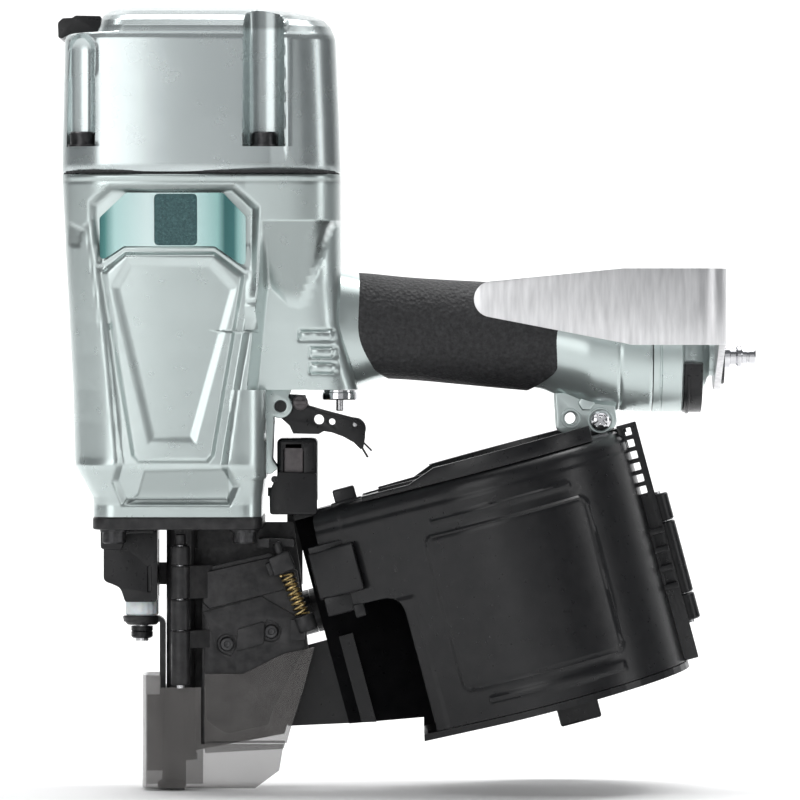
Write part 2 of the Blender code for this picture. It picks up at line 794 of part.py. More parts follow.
def make_bolt(name, place, seat_z, up, clamped):
    """A socket bolt whose head sits on seat_z and holds a piece of a given thickness."""
    x, y = place
    end = -clamped - BOLT_GRIP
    profile = [
        (0, BOLT_HEAD_HIGH),
        (BOLT_HEAD_R - 0.5, BOLT_HEAD_HIGH),
        (BOLT_HEAD_R, BOLT_HEAD_HIGH - 0.5),
        (BOLT_HEAD_R, GAP),
        (BOLT_R, GAP),
        (BOLT_R, end),
        (0, end),
    ]
    bolt = turned(name, (x, y, seat_z), (0, 0, up), profile, 16)
    low, high = (BOLT_HEAD_HIGH - BOLT_HEX_DEEP) * up, (BOLT_HEAD_HIGH + THROUGH) * up
    socket = rod(name + "_hex", (x, y, seat_z + low), (x, y, seat_z + high), BOLT_HEX_R, sides=6)
    return finish(cut(bolt, socket), BLACK_STEEL)


def make_bolts():
    """The cap's bolts from above and the nose flange's from below."""
    for i, place in enumerate(bolt_places()):
        make_bolt(f"cap_bolt_{i + 1}", place, CAP_LEDGE, 1, CAP_LEDGE - BODY_TOP)
    for i, place in enumerate(flange_places()):
        make_bolt(f"nose_bolt_{i + 1}", place, FLANGE_BOTTOM, -1, BODY_BOTTOM - FLANGE_BOTTOM)


def make_deflector():
    """The exhaust deflector over the duct, hooked down at its front."""
    low = CAP_STEP_Z + GAP
    front = -TOP_HALF - DEFLECTOR_LIP - 1
    wide = (-DEFLECTOR_HALF, DEFLECTOR_HALF)
    top = box("exhaust_deflector", (front, CAP_STEP_X - GAP), wide, (low, low + DEFLECTOR_THICK), 2)
    lip = box("deflector_lip", (front, front + DEFLECTOR_LIP), wide, (low - 3, low + 4))
    duct = box("deflector_duct", (front - 5, CAP_STEP_X - 3), (-DUCT_HALF, DUCT_HALF), (low - 1, low + 4))
    return finish(cut(join(top, lip), duct), BLACK)


# ---------------------------------------------------------------- drive


def make_liner():
    """The cylinder in which the piston runs."""
    low, inner, collar = BORE_MAX_Z + GAP, PISTON_BORE_R, RESERVOIR_R - GAP
    profile = [
        (LINER_R, LINER_TOP),
        (LINER_R, LINER_COLLAR_Z + LINER_COLLAR_HIGH),
        (collar, LINER_COLLAR_Z + LINER_COLLAR_HIGH),
        (collar, LINER_COLLAR_Z),
        (LINER_R, LINER_COLLAR_Z),
        (LINER_R, low),
        (inner, low),
        (inner, LINER_TOP),
    ]
    return finish(turned("cylinder_liner", (0, 0, 0), (0, 0, 1), profile, 36), ALUMINIUM)


def make_piston():
    """The piston with its ring groove and the socket for the blade."""
    outer = PISTON_BORE_R - 2 * SLIP
    groove = outer - PISTON_RING_DEEP - GAP
    top = PISTON_LOW + PISTON_THICK
    ring = (PISTON_LOW + 4, PISTON_LOW + 4 + PISTON_RING_HIGH + 2 * GAP)
    socket = BLADE_R + GAP
    profile = [
        (0, top),
        (outer, top),
        (outer, ring[1]),
        (groove, ring[1]),
        (groove, ring[0]),
        (outer, ring[0]),
        (outer, PISTON_LOW),
        (socket, PISTON_LOW),
        (socket, PISTON_LOW + 6),
        (0, PISTON_LOW + 6),
    ]
    piston = finish(turned("piston", (0, 0, 0), (0, 0, 1), profile, 36), ALUMINIUM)
    low = ring[0] + GAP
    high = low + PISTON_RING_HIGH
    band = [(outer, high), (outer, low), (groove + GAP, low), (groove + GAP, high)]
    seal = finish(turned("piston_ring", (0, 0, 0), (0, 0, 1), band, 36), RUBBER)
    blade_top = PISTON_LOW + 6 - GAP
    blade = finish(rod("driver_blade", (0, 0, BLADE_TIP_Z), (0, 0, blade_top), BLADE_R), STEEL)
    carry(pivot("piston_axis", (0, 0, PISTON_LOW * MM)), piston, seal, blade)


def make_bumper():
    """The rubber stop under the piston."""
    low = BORE_MAX_Z + GAP
    outer, inner = PISTON_BORE_R - GAP, BLADE_R + 2
    high = low + BUMPER_HIGH
    profile = [(outer - 3, high), (outer, high - 4), (outer, low), (inner, low), (inner, high)]
    return finish(turned("piston_bumper", (0, 0, 0), (0, 0, 1), profile, 32), RUBBER)


def make_head_valve():
    """The ring that opens the cylinder, and the spring that shuts it."""
    skirt_low = LINER_TOP + GAP
    profile = [
        (VALVE_RING_R, VALVE_RING_TOP),
        (VALVE_RING_R, VALVE_RING_LOW),
        (VALVE_SKIRT_R, VALVE_RING_LOW),
        (VALVE_SKIRT_R, skirt_low),
        (VALVE_HOLE_R, skirt_low),
        (VALVE_HOLE_R, VALVE_RING_TOP),
    ]
    valve = finish(turned("head_valve", (0, 0, 0), (0, 0, 1), profile, 36), BLACK)
    carry(pivot("head_valve_axis", (0, 0, VALVE_RING_TOP * MM)), valve)
    low = (0, 0, VALVE_RING_TOP + VALVE_SPRING_WIRE + GAP)
    high = (0, 0, CAP_ROOF_Z - VALVE_SPRING_WIRE - GAP)
    spring = coil("head_valve_spring", low, high, VALVE_SPRING_R, VALVE_SPRING_WIRE, 3, 12)
    finish(spring, STEEL)


# ---------------------------------------------------------------- handle and tail


def make_grip():
    """The moulded sleeve over the handle."""
    sleeve = loft("handle_grip", grip_ovals(0))
    cut(sleeve, loft("grip_core", grip_ovals(GRIP_WALL, reach=12)))
    return finish(sleeve, RUBBER)


def make_end_cap():
    """The cap on the handle's end, with the boss that carries the hook and the plug."""
    rim = TAIL_END + GAP + END_CAP_RIM
    dome = rim + END_CAP_DOME
    bore = TAIL_BORE_R
    thread = PLUG_THREAD_R + GAP
    start = TAIL_END + GAP
    steps = 4
    curve = []
    for i in range(steps + 1):
        angle = math.radians(90 * i / steps)
        radius = END_BOSS_R + (END_CAP_STEP_R - END_BOSS_R) * math.cos(angle)
        curve.append((radius, rim + END_CAP_DOME * math.sin(angle) - start))
    profile = [(thread, END_BOSS_END - start), (END_BOSS_R, END_BOSS_END - start)]
    profile += curve[::-1]
    profile += [(TAIL_R - 1.5, rim - start), (TAIL_R, rim - start - 3), (TAIL_R, 0)]
    profile += [(bore, 0), (bore, 8), (thread, dome - start - 8)]
    return finish(turned("end_cap", (start, 0, PLUG_Z), (1, 0, 0), profile, 32), PAINT)


def make_trim():
    """The black guard under the end cap's dome."""
    centre = (0, PLUG_Z)
    inner = END_CAP_STEP_R + GAP
    outline = arc(centre, TRIM_OUTER_R, 190, 350, 12) + arc(centre, inner, 350, 190, 12)
    start = TAIL_END + GAP + END_CAP_RIM + GAP
    return finish(plate("end_cap_trim", "YZ", outline, (start, start + TRIM_WIDTH)), BLACK)


def make_plug():
    """The air plug screwed into the end cap."""
    start = END_BOSS_END + GAP
    end = PLUG_LENGTH
    profile = [
        (PLUG_NOSE_R - 0.6, end),
        (PLUG_NOSE_R, end - 0.8),
        (PLUG_NOSE_R, 8.2),
        (PLUG_RING_R, 7.4),
        (PLUG_RING_R, 6.0),
        (PLUG_NECK_R, 5.2),
        (PLUG_NECK_R, 2.8),
        (PLUG_BASE_R, 2.4),
        (PLUG_BASE_R, 0),
        (PLUG_THREAD_R, 0),
        (PLUG_THREAD_R, -9),
        (PLUG_BORE_R, -9),
        (PLUG_BORE_R, end),
    ]
    return finish(turned("air_plug", (start, 0, PLUG_Z), (1, 0, 0), profile, 24), CHROME)


def make_hook():
    """The rafter hook: a side plate, a bend and an eye round the end cap's boss."""
    tip = (HOOK_TIP_X + HOOK_TIP_R, HOOK_TIP_Z)
    bend = (HOOK_REAR_X - HOOK_BEND, HOOK_SIDE_Y + HOOK_BEND)
    inner_y, wall_x = HOOK_SIDE_Y + HOOK_THICK, HOOK_REAR_X - HOOK_THICK
    strip = [(HOOK_TIP_X, HOOK_SIDE_Y)] + arc(bend, HOOK_BEND, -90, 0, 6)
    strip += [(HOOK_REAR_X, bend[1] + 20), (wall_x, bend[1] + 20)]
    strip += arc(bend, HOOK_BEND - HOOK_THICK, 0, -90, 6) + [(HOOK_TIP_X, inner_y)]
    hook = plate("rafter_hook", "XY", strip, (HOOK_LOW - 1, HOOK_HIGH + 1))
    side = arc(tip, HOOK_TIP_R, 95, 260, 8) + [
        (HOOK_WIDE_X, HOOK_LOW),
        (HOOK_REAR_X + 9, HOOK_LOW),
        (HOOK_REAR_X + 9, HOOK_HIGH),
        (HOOK_WIDE_X, HOOK_HIGH),
    ]
    combine(hook, plate("hook_side", "XZ", side, (HOOK_SIDE_Y - 9, 0)), "INTERSECT")
    eye = arc((0, PLUG_Z), HOOK_EYE_R, -120, 90, 12)
    wall = [(bend[1] + 10, HOOK_HIGH), (bend[1] + 10, HOOK_LOW)] + eye
    hole = arc((0, PLUG_Z), END_BOSS_R + SLIP, 0, 345, 23)
    join(hook, plate("hook_eye", "YZ", wall, (wall_x, HOOK_REAR_X), [hole]))
    finish(hook, RAW_ALUMINIUM, smooth=False)
    carry(pivot("rafter_hook_axis", (HOOK_REAR_X * MM, 0, PLUG_Z * MM)), hook)
    ring = (HOOK_REAR_X + GAP, END_BOSS_END)
    outer = arc((0, PLUG_Z), CLIP_R, 0, 345, 23)
    inner = arc((0, PLUG_Z), END_BOSS_R + GAP, 0, 345, 23)
    finish(plate("hook_clip", "YZ", outer, ring, [inner]), BLACK_STEEL, smooth=False)


# ---------------------------------------------------------------- trigger and valve


def trigger_outline():
    """The trigger's side view: pivot boss, top edge, round nose and finger edge."""
    boss = arc(TRIGGER_PIVOT, LUG_R - 0.5, 200, 90, 5)
    nose = arc((78.2, 161.6), 4.7, 80, -35, 6)
    finger = [(81.2, 152.8), (77.6, 155.6), (72.6, 158.2), (67.7, 160.0), (64.0, 160.6)]
    return boss + [(50, 177), (56, 177), (56.6, 171.8), (76.5, 166.6)] + nose + finger + [
        (62.0, 159.2),
        (50.0, 159.2),
    ]


def make_trigger():
    """The trigger: two cheeks joined at the finger edge, with windows in them."""
    trigger = plate("trigger", "XZ", trigger_outline(), (-TRIGGER_HALF, TRIGGER_HALF))
    slot = [(50.5, 180), (50.5, 161.0), (67, 161.3), (74, 158.8), (79, 156.5)]
    slot += [(80.8, 161.6), (79.5, 180)]
    cut(trigger, plate("trigger_slot", "XZ", slot, (-TRIGGER_SLOT, TRIGGER_SLOT)))
    reach = (-TRIGGER_HALF - 2, TRIGGER_HALF + 2)
    for i, (x, z, r) in enumerate(((61.7, 165.9, 2.6), (67.4, 165.0, 1.7))):
        cut(trigger, cross_rod(f"window_{i}", (x, z), reach, r, 12))
    cut(trigger, cross_rod("trigger_bore", TRIGGER_PIVOT, reach, TRIGGER_PIN_R + SLIP, 20))
    tip = [(76, 159.5), (79, 160.5), (90, 150), (84, 144)]
    cut(trigger, plate("wire_slot", "XZ", tip, (-1.1, 1.1)))
    join(trigger, cross_rod("arm_pin", ARM_PIVOT, (-TRIGGER_SLOT - 1, TRIGGER_SLOT + 1), ARM_PIN_R, 12))
    cut(trigger, cross_rod("selector_bore", SELECTOR, (-TRIGGER_HALF - 2, -TRIGGER_SLOT - 1), 2.2, 16))
    finish(trigger, BLACK)
    spring = wire("trigger_spring", [(85.3, 0, 151.8), (79.6, 0, 156.9), (83.5, 0, 148.8)], WIRE_R)
    finish(spring, STEEL)
    x, z = TRIGGER_PIVOT
    carry(pivot("trigger_axis", (x * MM, 0, z * MM)), trigger, spring)
    pin_reach = TRIGGER_HALF + 2 * GAP + LUG_THICK + 1
    pin = cross_rod("trigger_pin", TRIGGER_PIVOT, (-pin_reach, pin_reach), TRIGGER_PIN_R)
    finish(pin, BLACK_STEEL)


def make_trigger_arm():
    """The lever inside the trigger that the contact arm lifts."""
    x, z = ARM_PIVOT
    outline = arc(ARM_PIVOT, 2.3, -90, 150, 6) + [(74, z - 0.6), (57, z - 0.5), (53, z + 1.6)]
    outline += [(52, z + 0.2), (56.5, z - 2.0)]
    hole = [arc(ARM_PIVOT, ARM_PIN_R + SLIP, 0, 330, 11)]
    arm = plate("trigger_arm", "XZ", outline, (-ARM_HALF, ARM_HALF), hole)
    finish(arm, BRASS, smooth=False)
    carry(pivot("trigger_arm_axis", (x * MM, 0, z * MM)), arm)


def make_selector():
    """The knob on the trigger that picks single or contact firing."""
    x, z = SELECTOR
    outer = -TRIGGER_HALF - LUG_THICK - 1
    knob = cross_rod("selector_knob", SELECTOR, (outer, -TRIGGER_HALF - GAP), SELECTOR_R)
    join(knob, cross_rod("selector_stem", SELECTOR, (-TRIGGER_HALF - 1, -TRIGGER_SLOT - 2), 2.0, 16))
    finish(knob, GREY)
    carry(pivot("selector_axis", (x * MM, outer * MM, z * MM)), knob)


def make_valve():
    """The trigger valve's bushing and its plunger."""
    low = VALVE_BOSS_Z - GAP - BUSHING_FLANGE
    bore = PLUNGER_R + SLIP
    profile = [
        (BUSHING_STEM_R, BUSHING_FLANGE + BUSHING_STEM),
        (BUSHING_STEM_R, BUSHING_FLANGE),
        (BUSHING_R, BUSHING_FLANGE),
        (BUSHING_R, 0.8),
        (BUSHING_R - 0.8, 0),
        (bore, 0),
        (bore, BUSHING_FLANGE + BUSHING_STEM),
    ]
    bushing = turned("valve_bushing", (VALVE_X, 0, low), (0, 0, 1), profile, 32)
    finish(bushing, CHROME)
    tip, top = (VALVE_X, 0, PLUNGER_TIP_Z), (VALVE_X, 0, PLUNGER_TIP_Z + PLUNGER_LENGTH)
    plunger = finish(rod("valve_plunger", tip, top, PLUNGER_R), CHROME)
    carry(pivot("plunger_axis", Vector(tip) * MM), plunger)


# ---------------------------------------------------------------- nose


def knuckle(name, low, high):
    """A hinge knuckle of the nail channel's door."""
    return rod(name, (0, HINGE_Y, low), (0, HINGE_Y, high), KNUCKLE_R, sides=20)


def guide_outline():
    """The fixed cheek of the nail channel, inset from the magazine's mouth."""
    return [(3, 16), (46, 24), (57, 60), (53, 98), (50, FLANGE_BOTTOM + 2), (3, FLANGE_BOTTOM + 2)]


def make_nose():
    """The nose: flange, drive tube with its feed slot, fixed cheek and two hinge knuckles."""
    outline = rounded((-FOOT_FRONT, FOOT_REAR), (-FOOT_HALF, FOOT_HALF), FOOT_CORNER)
    holes = [arc(place, BOLT_R + GAP, 0, 337.5, 15) for place in flange_places()]
    nose = plate("nose", "XY", outline, (FLANGE_BOTTOM, FLANGE_TOP), holes)
    join(nose, rod("drive_tube", (0, 0, TUBE_TIP_Z), (0, 0, FLANGE_TOP - 1), TUBE_R, sides=28))
    join(nose, plate("cheek", "XZ", guide_outline(), GUIDE_Y))
    levels = KNUCKLES
    for i, (low, high) in enumerate(((levels[1] + GAP, levels[2] - GAP), (levels[3] + GAP, levels[4]))):
        join(nose, box(f"knuckle_web_{i}", (-3, 3), (HINGE_Y + 1, -TUBE_R + 2), (low, high)))
        join(nose, knuckle(f"nose_knuckle_{i}", low, high))
    keeper_x = (LATCH_TOP[0] - 11, LATCH_TOP[0] + 5)
    join(nose, box("keeper", keeper_x, (LATCH_Y - 3, GUIDE_Y[1]), (109, 112.5)))
    cut(nose, rod("nail_bore", (0, 0, 0), (0, 0, 200), TUBE_BORE_R))
    cut(nose, box("feed_slot", (0, 20), (-FEED_SLOT_HALF, FEED_SLOT_HALF), FEED_SLOT_Z))
    cut(nose, box("pawl_slot", PAWL_SLOT[0], (0, 30), PAWL_SLOT[1]))
    pin = HINGE_PIN_R + GAP
    cut(nose, rod("nose_hinge_bore", (0, HINGE_Y, 50), (0, HINGE_Y, 116), pin, sides=16))
    latch = LATCH_PIN_R + 2.5
    notch = (LATCH_TOP[0] - latch - 2, LATCH_TOP[0] + latch)
    cut(nose, box("keeper_notch", notch, (LATCH_Y - 9, LATCH_Y + latch), (105, 115)))
    return finish(nose, BLACK_STEEL)


def make_guard():
    """The guard round the contact arm's riser, under the trigger."""
    guard = box("lever_guard", GUARD_X, GUARD_Y, GUARD_Z, 2)
    slot_x = (RISER_X[0] - 0.6, RISER_X[1] + 0.6)
    cut(guard, box("riser_slot", slot_x, (-5, ARM_Y[1] + 0.6), (100, 170)))
    front, end = GUARD_X[0] - 5, GUARD_X[0] + 2.4
    bore = GUARD_SCREW_R + GAP
    start, stop = (front, GUARD_SCREW_Y, GUARD_SCREW_Z), (end, GUARD_SCREW_Y, GUARD_SCREW_Z)
    cut(guard, rod("guard_bore", start, stop, bore, sides=12))
    finish(guard, BLACK)
    head, tip = (front + 0.8, GUARD_SCREW_Y, GUARD_SCREW_Z), (end - GAP, GUARD_SCREW_Y, GUARD_SCREW_Z)
    return finish(rod("guard_screw", head, tip, GUARD_SCREW_R, sides=12), BLACK_STEEL)


def make_depth_cage():
    """The cage that the depth dial rises into."""
    left, right = CAGE_X
    top = FLANGE_BOTTOM - GAP
    corner = (left + CAGE_CURVE, CAGE_BOTTOM + CAGE_CURVE)
    outline = arc(corner, CAGE_CURVE, 180, 270, 6) + [(right, CAGE_BOTTOM), (right, top), (left, top)]
    cage = plate("depth_cage", "XZ", outline, (-CAGE_HALF, CAGE_HALF))
    well = EYE_R + WELL_CLEARANCE
    cut(cage, rod("dial_well", (DIAL_X, 0, 70), (DIAL_X, 0, CAGE_ROOF), well, sides=28))
    web = (DIAL_X - 4.5, DIAL_X + 4.5)
    cut(cage, box("web_slot", web, (0, 30), (ARM_WEB_Z[0] - 3, CAGE_ROOF)))
    return finish(cage, BLACK)


def make_contact_arm():
    """The upper contact arm: bar behind the nose, riser to the trigger and web to the dial."""
    bar = box("contact_arm", (DIAL_X - 4, RISER_X[1]), ARM_Y, ARM_BAR_Z)
    join(bar, box("riser", RISER_X, ARM_Y, (ARM_BAR_Z[0], RISER_TOP)))
    join(bar, box("riser_finger", RISER_X, (-3, ARM_Y[1]), (RISER_TOP - 3, RISER_TOP)))
    join(bar, box("dial_web", (DIAL_X - 4, DIAL_X + 4), (-4, ARM_Y[1]), ARM_WEB_Z))
    cut(bar, rod("bolt_bore", (DIAL_X, 0, 80), (DIAL_X, 0, 100), BOLT_R + SLIP, sides=20))
    finish(bar, BLACK_STEEL, smooth=False)
    low = DIAL_Z[0] - EYE_THICK - KNOB_HIGH - 3
    web = ARM_WEB_Z[1] + GAP
    profile = [(0, web + 3.2), (5, web + 3.2), (5, web), (BOLT_R, web), (BOLT_R, low), (0, low)]
    bolt = turned("depth_bolt", (DIAL_X, 0, 0), (0, 0, 1), profile, 20)
    finish(bolt, STEEL)
    carry(pivot("contact_arm_axis", (DIAL_X * MM, 0, ARM_WEB_Z[0] * MM)), bar, bolt)


def strap_outline():
    """The strap from the dial's eye, bent down to the foot."""
    eye_top = DIAL_Z[0] - GAP
    eye_low = eye_top - EYE_THICK
    inner, outer = STRAP_X
    bend = (inner - 1, eye_low - 1)
    curve = arc(bend, outer - bend[0], 90, 0, 4)
    start = DIAL_X + 4.5
    return [(start, eye_top)] + curve + [(outer, 30), (inner, 30), (inner, eye_low), (start, eye_low)]


def make_foot():
    """The contact foot: half sleeve on the drive tube, strap and eye."""
    profile = [(FOOT_OUTER_R, FOOT_TOP), (FOOT_OUTER_R, 4), (FOOT_OUTER_R + 2, 3), (FOOT_OUTER_R + 2, 0)]
    profile += [(FOOT_INNER_R, 0), (FOOT_INNER_R, FOOT_TOP)]
    foot = turned("contact_foot", (0, 0, 0), (0, 0, 1), profile, 40)
    cut(foot, box("foot_opening", (FOOT_OPEN_X, 20), (-20, 20), (-5, 60)))
    join(foot, plate("strap", "XZ", strap_outline(), (-STRAP_HALF, STRAP_HALF)))
    eye_top = DIAL_Z[0] - GAP
    eye = rod("eye", (DIAL_X, 0, eye_top - EYE_THICK), (DIAL_X, 0, eye_top), EYE_R)
    join(foot, eye)
    rib = (SHIELD_FRONT_X + SHIELD_WALL + GAP, -FOOT_INNER_R - 0.6)
    join(foot, box("foot_rib", rib, (-3, 3), (8, FOOT_TOP - 3)))
    cut(foot, rod("eye_bore", (DIAL_X, 0, 60), (DIAL_X, 0, 90), BOLT_R + SLIP, sides=20))
    finish(foot, BLACK_STEEL)
    knob_top = eye_top - EYE_THICK - GAP
    bore = BOLT_R + SLIP
    profile = [(KNOB_R, KNOB_HIGH), (KNOB_R, 1), (KNOB_R - 1, 0), (bore, 0), (bore, KNOB_HIGH)]
    knob = turned("depth_knob", (DIAL_X, 0, knob_top - KNOB_HIGH), (0, 0, 1), profile, 24)
    finish(knob, BLACK)
    shield = make_front_shield()
    carry(pivot("contact_foot_axis", (0, 0, 0)), foot, knob, shield)


def make_dial():
    """The nylon dial that sets the driving depth."""
    low, high = DIAL_Z
    bore = BOLT_R + SLIP
    profile = [(DIAL_R, high), (DIAL_R, low + 1), (DIAL_R - 1, low), (bore, low), (bore, high)]
    dial = finish(turned("depth_dial", (DIAL_X, 0, 0), (0, 0, 1), profile, 28), NYLON)
    carry(pivot("depth_dial_axis", (DIAL_X * MM, 0, low * MM)), dial)


def make_front_shield():
    """The clear shield round the foot, with a skirt on the door side."""
    outer, wall = SHIELD_OUTER_Y, SHIELD_WALL
    right = SHIELD_SIDE_X
    ring = rounded((SHIELD_FRONT_X, right + 30), (-outer, outer), 6)
    core = rounded((SHIELD_FRONT_X + wall, right + 40), (-outer + wall, outer - wall), 6 - wall)
    shield = plate("front_shield", "XY", ring, (SHIELD_BOTTOM, SHIELD_TOP))
    cut(shield, plate("shield_core", "XY", core, (-20, 80)))
    cut(shield, box("shield_side_cut", (right, 90), (-30, 30), (-20, 80)))
    cut(shield, box("shield_top_cut", (-FOOT_OUTER_R, 90), (-30, 30), (SHIELD_SIDE_TOP, 80)))
    low = SHIELD_BOTTOM
    skirt = [(0, low), (33, low), (44, low + 8), (46, SKIRT_TOP), (0, SKIRT_TOP)]
    join(shield, plate("skirt", "XZ", skirt, (-outer, -outer + wall)))
    return finish(shield, SMOKE, smooth=False)


def side_shield_outline():
    """The door's clear shield, whose slanted rear edge follows the magazine."""
    return [(10.5, 21), (47.4, 21), (48.6, 25.7), (55, 46), (59.7, 63.9), (46, 61), (28, 52), (10.5, 52)]


def door_arm_outline():
    """The door's arm from its panel to a knuckle, seen from above."""
    inner, outer = DOOR_Y[1] - 1, DOOR_Y[0] + 1
    return [(0, HINGE_Y - 3.5), (15, outer), (15, inner), (10, inner), (-2, HINGE_Y + 3)]


def make_door():
    """The hinged door of the nail channel, with its screws and clear shield."""
    holes = [arc(place, DOOR_SCREW_R + GAP, 0, 330, 11) for place in DOOR_SCREWS]
    door = plate("nail_guide_door", "XZ", list(DOOR_OUTLINE), DOOR_Y, holes)
    levels = KNUCKLES
    ends = ((levels[0], levels[1] - GAP, DOOR_ARM_LOW), (levels[2] + GAP, levels[3] - GAP, levels[2] + GAP))
    for i, (low, high, arm_low) in enumerate(ends):
        join(door, plate(f"door_arm_{i}", "XY", door_arm_outline(), (arm_low, high)))
        join(door, knuckle(f"door_knuckle_{i}", low, high))
    top = Vector(xz(LATCH_TOP, LATCH_Y))
    foot = Vector(xz(LATCH_FOOT, LATCH_Y))
    along = (top - foot).normalized()
    join(door, rod("latch_boss", foot, foot + along * 5, 4.6, sides=16))
    web_x, web_y = (foot.x - 7, foot.x - 1), (LATCH_Y - 2, DOOR_Y[1] - 1)
    join(door, box("boss_web", web_x, web_y, (foot.z - 6, foot.z + 3)))
    cut(door, rod("latch_bore", foot - along * 6, foot + along * 8, LATCH_PIN_R + GAP, sides=16))
    cut(door, rod("door_hinge_bore", (0, HINGE_Y, 40), (0, HINGE_Y, 116), HINGE_PIN_R + SLIP, sides=20))
    finish(door, BLACK_STEEL)
    shield = plate("side_shield", "XZ", side_shield_outline(), SIDE_SHIELD_Y)
    finish(shield, SMOKE, smooth=False)
    screws = [make_door_screw(i, place) for i, place in enumerate(DOOR_SCREWS)]
    carry(pivot("door_axis", (0, HINGE_Y * MM, levels[1] * MM)), door, shield, *screws)


def make_door_screw(i, place):
    """A pan-head screw in the door."""
    head, shank = DOOR_SCREW_HEAD_R, DOOR_SCREW_R
    profile = [(0, 2.2), (head - 1.2, 2.0), (head, 1.0), (head, 0), (shank, 0), (shank, -3.8), (0, -3.8)]
    screw = turned(f"door_screw_{i + 1}", xz(place, DOOR_Y[0] - GAP), (0, -1, 0), profile, 20)
    return finish(screw, STEEL)


def make_hinge_pin():
    """The door's hinge pin."""
    low, high = KNUCKLES[0] - 1.5, KNUCKLES[-1] + 1.5
    pin = rod("door_hinge_pin", (0, HINGE_Y, low), (0, HINGE_Y, high), HINGE_PIN_R, sides=20)
    return finish(pin, STEEL)


def make_door_latch():
    """The sprung latch of the door, and its spring."""
    top = Vector(xz(LATCH_TOP, LATCH_Y))
    foot = Vector(xz(LATCH_FOOT, LATCH_Y))
    along = (top - foot).normalized()
    half = LATCH_BLOCK
    latch = rod("door_latch", top - along * half, top + along * half * 0.6, half * LATCH_ROUND, sides=8)
    join(latch, rod("latch_stem", foot - along * 4, top + along * 9.5, LATCH_PIN_R, sides=16))
    finish(latch, BLACK_STEEL)
    carry(pivot("door_latch_axis", top * MM), latch)
    low, high = foot + along * 6, top - along * (half + 1.0)
    spring = coil("latch_spring", low, high, LATCH_SPRING_R, 0.5, 6, 8)
    finish(spring, BRASS)


# ---------------------------------------------------------------- feeder


def feed_point(distance):
    """A point on the feeder's axis, at a distance from its front end."""
    return FEED_START + FEED_AXIS * distance


def make_feeder():
    """The feed cylinder behind the fixed cheek, with its cap."""
    bore, length = FEED_BORE_R, FEED_LENGTH
    hole = FEED_ROD_R + 2 * SLIP
    profile = [(FEED_R, length), (FEED_R, 0), (hole, 0), (hole, FEED_WALL), (bore, FEED_WALL), (bore, length)]
    body = turned("feeder_cylinder", FEED_START, FEED_AXIS, profile, 32)
    finish(body, BLACK)
    cap = [(0, 5), (FEED_R - 4, 5), (FEED_R - 4, 3.2), (FEED_R, 3), (FEED_R, GAP)]
    cap += [(bore - GAP, GAP), (bore - GAP, -3), (0, -3)]
    lid = turned("feeder_cap", feed_point(length), FEED_AXIS, cap, 32)
    finish(lid, ALUMINIUM)


def make_feed_piston():
    """The feed piston, whose pawl steps the nails forward, and its spring."""
    low, high = FEED_PISTON
    outer = FEED_BORE_R - 2 * SLIP
    reach = -FEED_ROD_OUT
    profile = [(0, high), (outer, high), (outer, low), (FEED_ROD_R, low), (FEED_ROD_R, reach), (0, reach)]
    piston = turned("feed_piston", FEED_START, FEED_AXIS, profile, 28)
    x, _, z = feed_point(reach - 0.5)
    pawl = box("feed_pawl", (x - 4, x + 0.5), (3, FEED_START.y + 4), (z - 4, z + 4))
    join(piston, pawl)
    finish(piston, STEEL)
    carry(pivot("feed_axis", feed_point(low) * MM), piston)
    start, end = feed_point(high + 1.1), feed_point(FEED_LENGTH - 4.1)
    finish(coil("feed_spring", start, end, FEED_SPRING_R, 0.7, 4, 8), STEEL)


# ---------------------------------------------------------------- magazine


def side_outline(inset, side, front):
    """Half of the drum's plan from its rear to its front, on one side of the middle plane."""
    radius = DRUM_R - inset
    mouth = MOUTH_HALF - inset
    reach = math.hypot(DRUM_X - MOUTH_X, mouth)
    lean = math.degrees(math.atan2(mouth, DRUM_X - MOUTH_X))
    tangent = 180 - lean - math.degrees(math.acos(radius / reach))
    points = arc((DRUM_X, 0), radius, 0, tangent, 16)
    last = points[-1]
    share = (last[0] - front) / (last[0] - MOUTH_X)
    points.append((front, last[1] + (mouth - last[1]) * share))
    return [(x, y * side) for x, y in points]


def half_plan(side, front, inset=0.0):
    """The drum's plan on one side, closed along the middle plane."""
    middle = GAP / 2 * side
    outline = [(x, max(y * side, GAP / 2) * side) for x, y in side_outline(inset, side, front)]
    return outline + [(front, middle)]


def drum_wall(name, side, front, low, high):
    """The drum's wall on one side."""
    outer = side_outline(0, side, front)
    inner = side_outline(DRUM_WALL, side, front)[::-1]
    edge = GAP / 2 * side
    wall = [(x, y if abs(y) > GAP / 2 else edge) for x, y in outer + inner]
    return plate(name, "XY", wall, (low, high))


def rim(name, side):
    """The raised rim round the rear of the drum's top."""
    wall = drum_wall(name, side, MOUTH_X + 20, DRUM_TOP - 1, DRUM_TOP + RIM_RISE)
    cut(wall, box(name + "_front", (0, RIM_START_X), (-90, 90), (DRUM_TOP - 9, DRUM_TOP + 20)))
    return cut(wall, box(name + "_rear", (DRUM_X + RIM_END, 300), (-90, 90), (DRUM_TOP - 9, DRUM_TOP + 20)))


def mag_knuckle(name, low, high):
    """A hinge knuckle at the magazine's rear."""
    return rod(name, (MAG_HINGE_X, 0, low), (MAG_HINGE_X, 0, high), MAG_KNUCKLE_R, sides=20)


def ear_outline():
    """The ear that the bracket holds, in the magazine's frame."""
    front, rear = leaned((BRACKET_PIN, BRACKET_SCREW))
    low = DRUM_TOP + GAP
    left = arc(front, EAR_LOBE_R, 180, 60, 5)
    right = arc(rear, EAR_LOBE_R, 80, 0, 4)
    return [(front[0] - EAR_LOBE_R, low)] + left + right + [(rear[0] + EAR_LOBE_R, low)]


